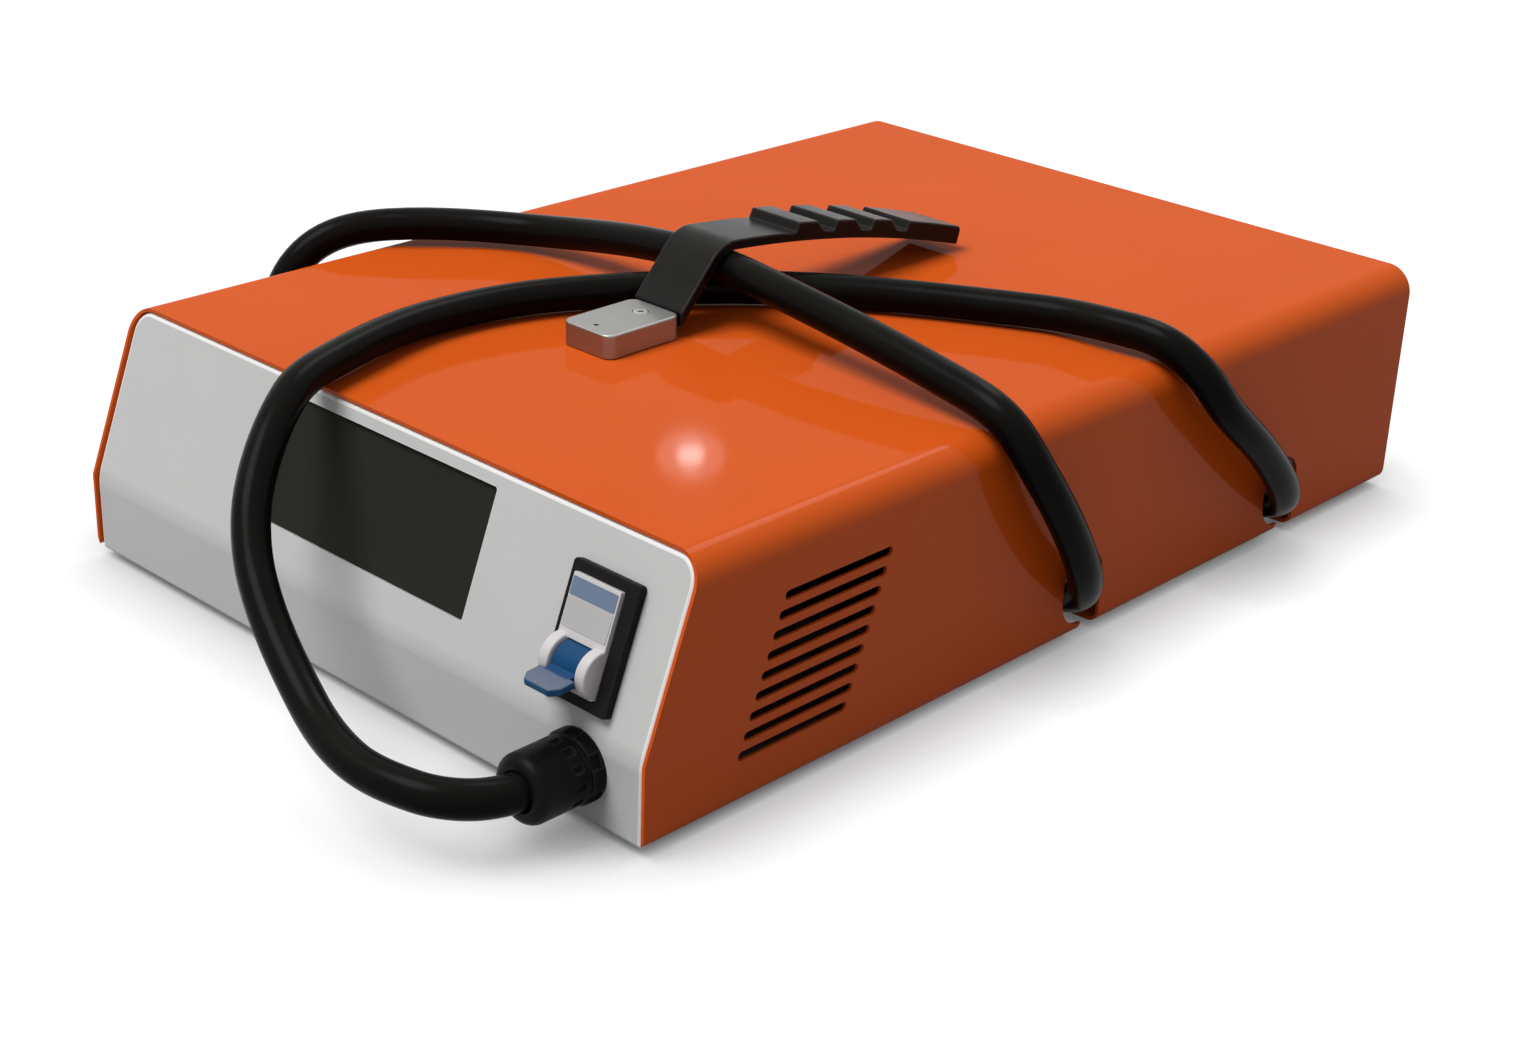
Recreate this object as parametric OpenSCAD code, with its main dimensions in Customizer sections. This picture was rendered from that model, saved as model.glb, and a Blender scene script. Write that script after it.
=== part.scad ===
// Forklift battery charger: folded sheet case with a strapped output lead.
// X runs to the right, Y to the rear and Z up. The floor is at z = 0.

/* [Case] */
// Width over the cover
case_w = 380; // [350:1:440]
// Depth from the front crease to the rear edge
case_d = 550; // [520:1:620]
// Height of the cover from its lower edge to its top
cover_h = 118; // [112:1:140]
// Height of the front crease above the cover's lower edge
crease_h = 38; // [36:1:44]
// Set-back of the top front edge behind the crease
slant_set = 30; // [24:1:36]
// Gap between the cover's lower edge and the floor
floor_gap = 4; // [3:0.5:8]
// Thickness of the cover's sheet
cover_t = 1.6; // [1.2:0.1:3]
// Outer radius of the cover's top bends
bend_r = 14; // [10:1:18]
// Outer radius of the bend into the lip
lip_r = 6; // [4:0.5:7]
// Width of the lip under each side
lip_w = 16; // [12:1:22]
// Depth by which the lip stops short of the front
lip_trim = 24; // [22:1:30]

/* [Panels] */
// Thickness of the front and rear panels
panel_t = 2; // [1.5:0.1:3]
// Depth of the panels inside the cover's edge
panel_rec = 1; // [0.5:0.5:5]
// Gap between a panel and the cover
panel_gap = 0.5; // [0.3:0.1:1]
// Depth of the front panel's foot under the tray
panel_foot = 15; // [10:1:20]

/* [Vents] */
// Number of slots in a stack
vent_n = 9; // [4:1:9]
// Length of a slot
vent_len = 65; // [40:1:70]
// Height of a slot
vent_h = 4.4; // [2.5:0.1:5]
// Pitch of the slots
vent_pitch = 8; // [7:0.1:9]
// Height of the lowest slot above the cover's lower edge
vent_z = 22.5; // [20:0.5:26]
// Distance of the lowest slot behind the crease
vent_y = 52; // [46:1:70]

/* [Base] */
// Thickness of the tray's sheet
tray_t = 2; // [1.5:0.1:3]
// Gap between the tray and the cover's sides
tray_gap = 0.3; // [0.2:0.1:0.6]
// Clear height of the lead bay under the tray
bay_h = 30; // [28:0.5:34]
// Distance of the bay's front wall behind the crease
bay_y = 168; // [160:1:176]
// Height of the tray's side flanges
tray_flange = 18; // [12:1:24]
// Width of a notch for the lead on the right
notch_w = 29; // [28:1:34]
// Width of the notch on the left, where the lead crosses at a slant
notch_slant_w = 36; // [34:1:40]
// Height of a notch for the lead
notch_h = 42; // [41:1:46]
// Radius of a foot
foot_r = 15; // [10:1:18]

/* [Display] */
// Width of the display opening
display_w = 138; // [110:1:145]
// Height of the display opening along the slope
display_h = 58; // [50:1:60]
// Offset of the display to the right
display_x = 4; // [-4:1:8]
// Height of the display's middle along the slope
display_v = 47.5; // [46:0.5:48]
// Overlap of the window behind the opening
window_lap = 4; // [2:0.5:4]
// Thickness of the window
window_t = 3; // [2:0.5:4]

/* [Breaker] */
// Width of the breaker
breaker_w = 27; // [24:0.5:28]
// Height of the breaker's face
breaker_h = 45; // [44:0.5:46]
// Distance of the breaker's middle from the right side
breaker_x = 45; // [42:1:52]
// Height of the breaker's middle along the slope
breaker_v = 38; // [37:0.5:39]
// Reach of the breaker's face beyond the cover's front
breaker_reach = 5; // [4.5:0.5:8]
// Depth of the breaker behind the cover's front
breaker_depth = 56; // [50:1:60]
// Width of the lever between its cheeks
lever_w = 14.6; // [12:0.2:15]
// Width of the lever's paddle
paddle_w = 20; // [16:0.5:24]
// Radius of the paddle's tip about the pivot
paddle_r = 23; // [20:0.5:25]
// Angle of the lever below the face's normal
lever_rest = 25; // [15:1:30]

/* [Gland] */
// Distance of the gland's middle from the right side
gland_x = 38; // [36:0.5:42]
// Height of the gland above the cover's lower edge
gland_z = 24; // [22:0.5:24]
// Radius of the gland's flange
gland_flange_r = 16; // [15.5:0.5:18]
// Radius of the gland's thread
gland_thread_r = 12.2; // [12:0.1:12.6]
// Reach of the gland in front of the crease
gland_reach = 32; // [28:1:36]
// Diameter of the lead
lead_d = 16.5; // [15:0.1:16.6]

/* [Strap] */
// Width of the strap and its plate
strap_w = 32; // [26:1:34]
// Thickness of the strap
strap_t = 5; // [4:0.2:6]
// Height of the teeth above the strap
tooth_h = 4.5; // [2:0.5:5]
// Number of teeth
tooth_n = 3; // [1:1:3]
// Pitch of the teeth
tooth_pitch = 28; // [26:1:30]
// Offset of the strap to the right
strap_x = -1; // [-3:1:2]
// Distance of the strap's plate behind the crease
plate_y = 144; // [140:1:146]
// Length of the strap's plate
plate_len = 46; // [42:1:46]
// Height of the strap's plate
plate_h = 12; // [10:0.5:14]

/* [Fan] */
// Side of the fan's frame
fan_w = 80; // [70:1:92]
// Depth of the fan's frame
fan_t = 25; // [22:1:30]
// Number of blades
blade_n = 7; // [5:1:9]
// Offset of the fan to the right
fan_x = -90; // [-120:1:-60]

/* [Power board] */
// Width of the main board
board_w = 310; // [304:1:330]
// Depth of the main board
board_d = 250; // [246:1:260]
// Thickness of the main board
board_t = 1.6; // [1.2:0.1:2.4]
// Distance of the main board behind the crease
board_y = 205; // [200:1:210]
// Height of the standoffs
standoff_h = 8; // [6:0.5:10]

/* [Hidden] */
$fn = 64;

// Heights above the floor
crease_z = floor_gap + crease_h;
lip_z = floor_gap + cover_t;
bay_top = bay_h + tray_t;

// The fan stands on the tray, and the cover is at least high enough for it
fan_lift = 4;
fan_room = 0.5;
fan_z = bay_top + fan_lift + fan_w / 2;
top_z = max(floor_gap + cover_h, fan_z + fan_w / 2 + fan_room + cover_t);
shell_h = top_z - floor_gap;

// Lean of the upper front
tilt = atan2(slant_set, shell_h - crease_h);

// Places across the front, measured from the right side
breaker_mid_x = case_w / 2 - breaker_x;
gland_mid_x = case_w / 2 - gland_x;
gland_mid_z = floor_gap + gland_z;

// Lever pivot on the slope: height along it and reach out of it
pivot_drop = 12;
pivot_v = breaker_v - pivot_drop;
pivot_n = 2;
cheek_r = 10.5;
hub_r = 8.7;
paddle_t = 3.5;
lever_pin_r = 1.5;
back_rise = 4;
run_gap = 0.06;
paddle_root = cheek_r + 1;

// Reach of the lever's tip ahead of the crease
tip_n = pivot_n + paddle_r * cos(lever_rest) + paddle_t / 2 * sin(lever_rest);
tip_v = pivot_v - paddle_r * sin(lever_rest) + paddle_t / 2 * cos(lever_rest);
lever_reach = tip_n * cos(tilt) - tip_v * sin(tilt);

// Supply gland at the rear
supply_edge = 70;
supply_drop = 52;
supply_x = case_w / 2 - supply_edge;
supply_z = top_z - supply_drop;
supply_flange_r = 13;
supply_thread_r = 9.9;
supply_bore_r = 6.2;
supply_reach = 24;

// The crease and the rear edge, so that the case stands centred on the origin
front_y = -(case_d + supply_reach - panel_rec - max(lever_reach, gland_reach)) / 2;
rear_y = front_y + case_d;
rear_face_y = rear_y - panel_rec;
rear_inner_y = rear_face_y - panel_t;
panel_inner_y = front_y + panel_rec + panel_t;
panel_w = case_w - 2 * (cover_t + panel_gap);
panel_top = top_z - cover_t - panel_gap;
tray_w = case_w - 2 * (cover_t + tray_gap);

// Lead bay: the notches lie where the lead passes under the sides
step_y = front_y + bay_y;
notch_low = 20;
notch_right = [280, 445];
notch_left = [194];

// Fixings
screw_r = 2;
screw_clear = 0.2;
screw_head_r = 3.6;
screw_head_h = 2.2;
cover_screw_y = [60, 145];
cover_screw_x = case_w / 2 - lip_w + 4;
foot_screw_h = 3;

// Strap plate and tongue
tongue_len = 30;
tongue_w = strap_w - 8;
tongue_t = 4;
fit_gap = 0.2;
plate_end = plate_y + plate_len;
plate_screw_y = plate_end - 11;
plate_hole_y = plate_y + 7;
plate_hole_r = 1.2;
plate_hole_h = 5;

// Strap line over the crossed lead: root, crest circle, then the tail's long curve
strap_root = [plate_end, 5];
crest_y = plate_end + 34;
crest_top = 35.8;
crest_r = 14;
crest_mid = [crest_y, crest_top - crest_r];
root_to_crest = crest_mid - strap_root;
ramp_angle = atan2(root_to_crest[1], root_to_crest[0]) + asin(crest_r / norm(root_to_crest));
ramp_len = sqrt(norm(root_to_crest) ^ 2 - crest_r ^ 2);
tail_angle = -5;
tail_r = 800;
tail_len = 169;
tooth_start = 41;
tooth_len = 15;
tooth_rise = 1.5;
valley_cut = 0.5;
pad_nose = 1.5;

// Output lead from the gland's seal to its plug: X, distance behind the crease, and Z
lead_route = [
  [152, -6, 28], [152, -31, 28], [146, -51, 30], [130, -64, 32], [98, -69, 34], [62, -63, 43], [12, -49, 74],
  [-12, -32, 101], [-34, 4, 128], [-48, 40, 132], [-63, 105, 131], [-48, 174, 131], [14, 260, 131],
  [116, 328, 131], [160, 335, 133], [183, 338, 131], [198, 345, 120], [206, 360, 99], [208, 394, 69],
  [202, 428, 37], [186, 444, 21], [146, 444, 10], [-144, 240, 12], [-180, 207, 22], [-202, 176, 40],
  [-210, 140, 66], [-208, 126, 98], [-200, 144, 124], [-182, 176, 132], [-125, 224, 133], [-20, 226, 148],
  [66, 219, 146], [166, 213, 135], [190, 212, 128], [202, 220, 108], [207, 240, 76], [203, 262, 44],
  [187, 280, 23], [156, 294, 10], [122, 294, 10]];
lead_room = 0.6;
lead_sides = 10;
lead_steps = 2;

// Battery plug stowed in the bay
plug_len = 62;
plug_w = 48;
plug_h = 20;
plug_gap = 0.6;
lead_end = lead_route[len(lead_route) - 1];
plug_x = lead_end[0] - plug_gap;
plug_y = front_y + lead_end[1];
plug_z = lead_end[2];
contact_r = 4;

// Fan place
fan_y = rear_inner_y - fan_t;
fan_bore_r = fan_w / 2 - 2;
fan_hole = fan_w / 2 - 4.5;
fan_hub_r = 17;
fan_pin_r = 3;
fan_run = 0.6;
arm_t = 3;
arm_w = 5;
guard_t = 1.5;

// Main board place
board_z = bay_top + standoff_h;
board_top = board_z + board_t;
board_mid_y = front_y + board_y + board_d / 2;
sink_h = 56;
sink_len = 190;
sink_base = 6;
fin_n = 6;
fin_t = 2;
fin_len = 22;
sink_inset = 34;
device_t = 5;
device_w = 16;
device_h = 24;
core_x = 20;
core_l = 66;
core_w = 56;
core_h = 54;
core_leg = 15;
core_window = 16;
choke_r = 30;
choke_hole_r = 13;
choke_h = 30;
choke_y = 78;
capacitor_n = 4;
capacitor_r = 15;
capacitor_h = 50;
capacitor_x = 78;
capacitor_pitch = 40;
relay_size = [30, 28, 26];
relay_x = 50;
relay_y = 110;
terminal_size = [48, 18, 20];
terminal_edge = 4;
terminal_n = 4;
busbar_size = [4, 120, 20];
busbar_x = 46;
busbar_gap = 26;
busbar_y = 30;

// Feet: distance from the sides and from the crease or the rear edge
front_foot_x = 50;
front_foot_y = 100;
rear_foot_x = 40;
rear_foot_y = 38;

// Height of the crease on a surface d behind the cover's front
function face_crease_z(d) = crease_z - d * tan(tilt / 2);

// Depth of that surface at height z
function face_y(d, z) = front_y + d + max(0, z - face_crease_z(d)) * tan(tilt);

// Direction of a vector
function unit(v) = v / norm(v);

// Point k of a list, with both ends carried on in line
function route_point(p, k) =
  k < 0 ? 2 * p[0] - p[1] : k >= len(p) ? 2 * p[len(p) - 1] - p[len(p) - 2] : p[k];

// Smooth curve through four points at t between the middle two
function through(a, b, c, d, t) =
  let (h = norm(c - b), u = h * unit(c - a), w = h * unit(d - b))
  (2 * t ^ 3 - 3 * t ^ 2 + 1) * b + (t ^ 3 - 2 * t ^ 2 + t) * u
    + (3 * t ^ 2 - 2 * t ^ 3) * c + (t ^ 3 - t ^ 2) * w;

// Curve through a list of points
function curve(p, steps) = concat(
  [for (k = [0 : len(p) - 2]) for (j = [0 : steps - 1])
    through(route_point(p, k - 1), p[k], p[k + 1], route_point(p, k + 2), j / steps)],
  [p[len(p) - 1]]);

// Tangents along a path
function tangents(p) =
  [for (k = [0 : len(p) - 1]) unit(p[min(k + 1, len(p) - 1)] - p[max(k - 1, 0)])];

// Side vectors carried along a path without twist
function carried(t, side, k = 0) = k == len(t) ? [] :
  let (s = unit(side - (side * t[k]) * t[k])) concat([s], carried(t, s, k + 1));

// Rings of a tube
function rings(p, t, s, r, sides) = [for (k = [0 : len(p) - 1]) for (j = [0 : sides - 1])
  p[k] + r * (cos(j * 360 / sides) * s[k] + sin(j * 360 / sides) * cross(t[k], s[k]))];

// Position and direction on the strap's underside at distance s from its root
function strap_at(s) =
  let (arc = crest_r * (ramp_angle - tail_angle) * PI / 180, tail = s - ramp_len - arc,
    turn = (s - ramp_len) / crest_r * 180 / PI, a = ramp_angle - turn,
    b = tail_angle - tail / tail_r * 180 / PI,
    tail_mid = crest_mid + (crest_r - tail_r) * [-sin(tail_angle), cos(tail_angle)])
  s < ramp_len ? [strap_root + s * [cos(ramp_angle), sin(ramp_angle)], ramp_angle] :
  tail < 0 ? [crest_mid + crest_r * [-sin(a), cos(a)], a] : [tail_mid + tail_r * [-sin(b), cos(b)], b];

strap_crest_s = ramp_len + crest_r * (ramp_angle - tail_angle) * PI / 180;
strap_len = strap_crest_s + tail_len;

// Thickness along the strap: plain ramp and band, stepped teeth, then the end pad
tooth_full = strap_t + tooth_h;
valley_t = strap_t - valley_cut;
strap_profile = concat(
  [for (k = [0 : 4]) [ramp_len * k / 4, strap_t]],
  [for (k = [1 : 5]) [ramp_len + (strap_crest_s - ramp_len) * k / 6, strap_t]],
  [for (k = [0 : 2]) [strap_crest_s + tooth_start * k / 3, strap_t]],
  [for (i = [0 : tooth_n - 1]) let (s = strap_crest_s + tooth_start + i * tooth_pitch) each [
    [s, valley_t], [s + tooth_rise, tooth_full], [s + tooth_len / 2, tooth_full],
    [s + tooth_len, tooth_full], [s + tooth_len + 2 * tooth_rise, strap_t + tooth_h * 0.35],
    [s + tooth_len + 4 * tooth_rise, valley_t]]],
  let (s = strap_crest_s + tooth_start + tooth_n * tooth_pitch) [
    [s, valley_t], [s + tooth_rise, tooth_full], [(s + strap_len) / 2, tooth_full],
    [strap_len - pad_nose, tooth_full], [strap_len, tooth_full - pad_nose]]);

// Rectangle with rounded corners, standing on y = 0: top radius rt, bottom radius rb
module tall_outline(w, h, rt, rb) {
  translate([-w / 2, rb]) square([w, h - rt - rb]);
  translate([rt - w / 2, h - rt - 0.01]) square([w - 2 * rt, rt + 0.01]);
  translate([rb - w / 2, 0]) square([w - 2 * rb, rb + 0.01]);
  for (s = [-1, 1]) {
    translate([s * (w / 2 - rt), h - rt]) circle(rt);
    translate([s * (w / 2 - rb), rb]) circle(rb);
  }
}

// Rectangle with rounded corners about the origin
module plate_outline(w, h, r) {
  translate([0, -h / 2]) tall_outline(w, h, r, r);
}

// Slot with round ends along X, about the origin
module slot_outline(len, h) {
  square([len - h, h], center = true);
  for (s = [-1, 1]) translate([s * (len - h) / 2, 0]) circle(h / 2);
}

// Children drawn in X and Z, extruded from y0 to y1
module along_y(y0, y1) {
  translate([0, y1, 0]) rotate([90, 0, 0]) linear_extrude(y1 - y0) children();
}

// Children drawn in Y and Z, extruded over the width w about x
module along_x(w, x = 0) {
  translate([x - w / 2, 0, 0]) rotate([90, 0, 90]) linear_extrude(w) children();
}

// Frame on the sloping front: X, height along it, reach out of it
module on_slope(x, v, n) {
  translate([x, front_y, crease_z]) rotate([90 - tilt, 0, 0]) translate([0, v, n]) children();
}

// Frame on the lower front with +Z to the front
module on_lower_front(x, z, y) {
  translate([x, y, z]) rotate([90, 0, 0]) children();
}

// Places of the cover's screws
module at_cover_screws() {
  for (s = [-1, 1], y = cover_screw_y) translate([s * cover_screw_x, front_y + y, 0]) children();
}

// Places of the fan's screws
module at_fan_screws() {
  for (sx = [-1, 1], sz = [-1, 1]) translate([fan_x + sx * fan_hole, 0, fan_z + sz * fan_hole]) children();
}

// Stack of slots through one side
module vent_stack() {
  for (i = [0 : vent_n - 1])
    translate([front_y + vent_y + vent_len / 2 + i * vent_pitch * tan(tilt),
      floor_gap + vent_z + i * vent_pitch]) slot_outline(vent_len, vent_h);
}

// Notch for the lead in the lower edge of a side, with a hook in front of its mouth
module notch(y, w) {
  hull() for (z = [notch_low, notch_h - w / 2]) translate([front_y + y, floor_gap + z]) circle(w / 2);
  translate([front_y + y + 1, 0]) square([w / 2 - 1, floor_gap + notch_low]);
}

// Every notch, reaching over a depth d on both sides of the case's walls
module notches(d) {
  for (y = notch_right) along_x(2 * d, case_w / 2) notch(y, notch_w);
  for (y = notch_left) along_x(2 * d, -case_w / 2) notch(y, notch_slant_w);
}

module cover() {
  reach = lip_w + 2;
  color("orangered") difference() {
    intersection() {
      along_y(front_y - 1, rear_y) translate([0, floor_gap]) difference() {
        tall_outline(case_w, shell_h, bend_r, lip_r);
        translate([0, cover_t])
          tall_outline(case_w - 2 * cover_t, shell_h - 2 * cover_t, bend_r - cover_t, lip_r - cover_t);
        translate([lip_w - case_w / 2, -1]) square([case_w - 2 * lip_w, cover_t + 2]);
      }
      along_x(case_w + 2) polygon([[front_y, 0], [front_y, crease_z], [face_y(0, top_z + 1), top_z + 1],
        [rear_y + 1, top_z + 1], [rear_y + 1, 0]]);
    }
    translate([-case_w / 2 + cover_t, front_y - 1, 0])
      cube([case_w - 2 * cover_t, lip_trim + 1, floor_gap + lip_r]);
    for (s = [-1, 1]) along_x(3 * cover_t, s * case_w / 2) vent_stack();
    notches(reach);
    at_cover_screws() cylinder(r = screw_r + screw_clear, h = 4 * lip_z, center = true);
    translate([strap_x, front_y + plate_screw_y, top_z - cover_t - 1])
      cylinder(r = screw_r + screw_clear, h = cover_t + 2);
  }
}

module front_panel() {
  inner = panel_rec + panel_t;
  foot_z = lip_z - panel_t;
  color("lightgray") difference() {
    union() {
      intersection() {
        along_x(panel_w) polygon([[front_y + panel_rec, foot_z],
          [front_y + panel_rec, face_crease_z(panel_rec)], [face_y(panel_rec, panel_top), panel_top],
          [face_y(inner, panel_top), panel_top], [front_y + inner, face_crease_z(inner)],
          [front_y + inner, foot_z]]);
        along_y(front_y, front_y + 2 * slant_set) translate([0, foot_z])
          tall_outline(panel_w, panel_top - foot_z, bend_r - cover_t - panel_gap, panel_t);
      }
      translate([lip_w - case_w / 2, panel_inner_y - 0.01, foot_z])
        cube([case_w - 2 * lip_w, panel_foot + 0.01, panel_t]);
    }
    on_slope(display_x, display_v, -20) linear_extrude(40) plate_outline(display_w, display_h, 2);
    on_slope(breaker_mid_x, breaker_v, -20) linear_extrude(40)
      plate_outline(breaker_w + 4 * fit_gap, breaker_h + 4 * fit_gap, 1);
    on_lower_front(gland_mid_x, gland_mid_z, front_y + 10) cylinder(r = gland_thread_r + fit_gap, h = 20);
  }
}

module rear_panel() {
  color("darkgray") difference() {
    along_y(rear_inner_y, rear_face_y) translate([0, lip_z])
      tall_outline(panel_w, panel_top - lip_z, bend_r - cover_t - panel_gap, lip_r - cover_t);
    translate([fan_x, 0, fan_z]) rotate([-90, 0, 0]) cylinder(r = fan_bore_r, h = 2 * rear_y);
    at_fan_screws() rotate([-90, 0, 0]) cylinder(r = screw_r + screw_clear, h = 2 * rear_y);
    translate([supply_x, 0, supply_z]) rotate([-90, 0, 0])
      cylinder(r = supply_thread_r + fit_gap, h = 2 * rear_y);
    along_y(rear_inner_y - 1, rear_face_y + 1) for (i = [0 : vent_n - 1])
      translate([20, floor_gap + vent_z + 12 + i * vent_pitch]) slot_outline(vent_len, vent_h);
  }
}

// Stepped floor and side flanges, before the lower corners are rounded
module tray_sheet() {
  start = panel_inner_y;
  along_x(tray_w) polygon([[start, lip_z], [step_y, lip_z], [step_y, bay_h], [rear_inner_y, bay_h],
    [rear_inner_y, bay_top], [step_y - tray_t, bay_top], [step_y - tray_t, lip_z + tray_t],
    [start, lip_z + tray_t]]);
  for (s = [-1, 1]) along_x(tray_t, s * (tray_w - tray_t) / 2) {
    polygon([[start + 4, lip_z], [step_y - 1, lip_z], [step_y - 1, lip_z + tray_flange],
      [start + 4, lip_z + tray_flange]]);
    polygon([[step_y - tray_t, bay_h], [rear_inner_y, bay_h], [rear_inner_y, bay_h + tray_flange],
      [step_y - tray_t, bay_h + tray_flange]]);
  }
}

module base_tray() {
  reach = lip_w + 14;
  color("gainsboro") difference() {
    intersection() {
      tray_sheet();
      along_y(panel_inner_y, rear_inner_y) translate([0, lip_z])
        tall_outline(tray_w, shell_h, bend_r, lip_r - cover_t);
    }
    at_cover_screws() cylinder(r = screw_r + screw_clear, h = 4 * lip_z, center = true);
    notches(reach);
  }
}

// Rubber foot of height h standing on the floor
module foot(h) {
  rotate_extrude() polygon([[4, 0], [foot_r - 2, 0], [foot_r - 1, 1], [foot_r, h], [2, h], [2, foot_screw_h],
    [4, foot_screw_h]]);
}

module front_feet() {
  color("black") for (s = [-1, 1])
    translate([s * (case_w / 2 - front_foot_x), front_y + front_foot_y, 0]) foot(lip_z);
}

module rear_feet() {
  color("black") for (s = [-1, 1])
    translate([s * (case_w / 2 - rear_foot_x), rear_y - rear_foot_y, 0]) foot(bay_h);
}

module cover_screws() {
  color("silver") at_cover_screws() {
    translate([0, 0, floor_gap - screw_head_h]) cylinder(r = screw_head_r, h = screw_head_h);
    translate([0, 0, floor_gap - 0.01]) cylinder(r = screw_r, h = cover_t + tray_t + 3);
  }
}

module display_window() {
  color("black") on_slope(display_x, display_v, -panel_rec - panel_t - window_t) linear_extrude(window_t)
    plate_outline(display_w + 2 * window_lap, display_h + 2 * window_lap, 3);
}

module display_module() {
  depth = 9;
  color("darkgreen") on_slope(display_x, display_v, -panel_rec - panel_t - window_t - depth) {
    linear_extrude(board_t) plate_outline(display_w + 8, display_h + 8, 2);
    translate([0, 0, board_t - 0.01]) linear_extrude(depth - board_t + 0.01)
      plate_outline(display_w - 4, display_h - 4, 2);
  }
}

module breaker_bezel() {
  side = 5.5;
  shift = 2;
  base_t = 3;
  step_t = 1.2;
  bezel_w = breaker_w + 2 * side;
  bezel_h = breaker_h + 2 * side - 1;
  color("dimgray") on_slope(breaker_mid_x + shift, breaker_v, -panel_rec) difference() {
    union() {
      linear_extrude(base_t) plate_outline(bezel_w, bezel_h, 4);
      translate([0, 0, base_t - 0.01]) linear_extrude(step_t) plate_outline(bezel_w - 2, bezel_h - 2, 3);
    }
    translate([-shift, 0, -1]) linear_extrude(8)
      plate_outline(breaker_w + 2 * fit_gap, breaker_h + 2 * fit_gap, 0.8);
  }
}

// Round shape about the lever's pivot over the width w
module at_pivot(r, w) {
  translate([-w / 2, pivot_v - breaker_v, pivot_n]) rotate([0, 90, 0]) cylinder(r = r, h = w);
}

module breaker_body() {
  shoulder = -10;
  back_h = 64;
  groove_v = breaker_h / 2 - 2.5;
  well_w = lever_w + 4 * fit_gap;
  color("white") on_slope(breaker_mid_x, breaker_v, 0) difference() {
    union() {
      translate([0, 0, shoulder - 0.01]) linear_extrude(breaker_reach - shoulder)
        plate_outline(breaker_w, breaker_h, 0.6);
      translate([-breaker_w / 2, back_rise - back_h / 2, -breaker_depth])
        cube([breaker_w, back_h, breaker_depth + shoulder]);
      intersection() {
        at_pivot(cheek_r, breaker_w);
        translate([-breaker_w / 2, -breaker_h / 2, shoulder]) cube([breaker_w, breaker_h, 40]);
      }
    }
    at_pivot(hub_r + 0.5, well_w);
    at_pivot(lever_pin_r + run_gap, lever_w + 6.6);
    translate([-well_w / 2, pivot_v - breaker_v - hub_r - 0.5, pivot_n]) cube([well_w, 2 * hub_r + 1, 20]);
    for (s = [-1, 1]) translate([-breaker_w / 2 - 1, s * groove_v - 0.4, breaker_reach - 0.6])
      cube([breaker_w + 2, 0.8, 1]);
  }
}

module breaker_lever() {
  color("royalblue") on_slope(breaker_mid_x, 0, 0) translate([0, pivot_v, pivot_n]) {
    rotate([0, 90, 0]) cylinder(r = hub_r, h = lever_w, center = true);
    rotate([lever_rest, 0, 0]) {
      translate([-lever_w / 2, -paddle_t / 2, 0]) cube([lever_w, paddle_t, paddle_root + 1]);
      translate([0, paddle_t / 2, paddle_root]) rotate([90, 0, 0]) linear_extrude(paddle_t)
        tall_outline(paddle_w, paddle_r - paddle_root, 3, 0.6);
    }
    for (s = [-1, 1]) translate([s * (lever_w / 2 + 1.5), 0, 0]) rotate([0, 90, 0])
      cylinder(r = lever_pin_r, h = 3.2, center = true);
  }
}

// Top-hat rail behind the breaker, 35 mm wide and 7.5 mm deep
module breaker_rail() {
  rail_over = 17;
  rail_w = breaker_w + 2 * rail_over;
  half = 17.5;
  web = 12.5;
  depth = 7.5;
  sheet = 1;
  color("silver") on_slope(breaker_mid_x, breaker_v + back_rise, -breaker_depth - depth) rotate([90, 0, 90])
    translate([0, 0, -rail_w / 2]) linear_extrude(rail_w) {
      translate([-web, 0]) square([2 * web, sheet]);
      for (s = [-1, 1]) {
        translate([s * (web - sheet / 2) - sheet / 2, 0]) square([sheet, depth]);
        translate([s * (half + web - sheet) / 2 - (half - web + sheet) / 2, depth - sheet])
          square([half - web + sheet, sheet]);
      }
    }
}

module rail_posts() {
  post_out = 9;
  post_x = breaker_w / 2 + post_out;
  post_v = 15;
  post_r = 2.2;
  color("silver") for (sx = [-1, 1], sv = [-1, 1])
    on_slope(breaker_mid_x + sx * post_x, breaker_v + back_rise + sv * post_v, -breaker_depth)
      cylinder(r = post_r, h = breaker_depth - panel_rec - panel_t);
}

// Shared places of the gland, along its axis from the panel's face
gland_flange_t = 7;
gland_tail = 14;
gland_core_r = gland_thread_r - 1;
gland_core_h = 8;
seal_t = 6;
seal_room = 0.5;
nut_cup = 1;

module gland_body() {
  color("black") on_lower_front(gland_mid_x, gland_mid_z, front_y + panel_rec) difference() {
    union() {
      rotate_extrude() polygon([[0, 0], [gland_flange_r, 0], [gland_flange_r, gland_flange_t - 2],
        [gland_flange_r - 2, gland_flange_t], [0, gland_flange_t]]);
      translate([0, 0, -gland_tail]) cylinder(r = gland_thread_r, h = gland_tail + 1);
      translate([0, 0, gland_flange_t - 1]) cylinder(r = gland_core_r, h = gland_core_h + 1);
    }
    translate([0, 0, -gland_tail - 1])
      cylinder(r = lead_d / 2 + lead_room, h = gland_tail + gland_flange_t + gland_core_h + 2);
  }
}

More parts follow.
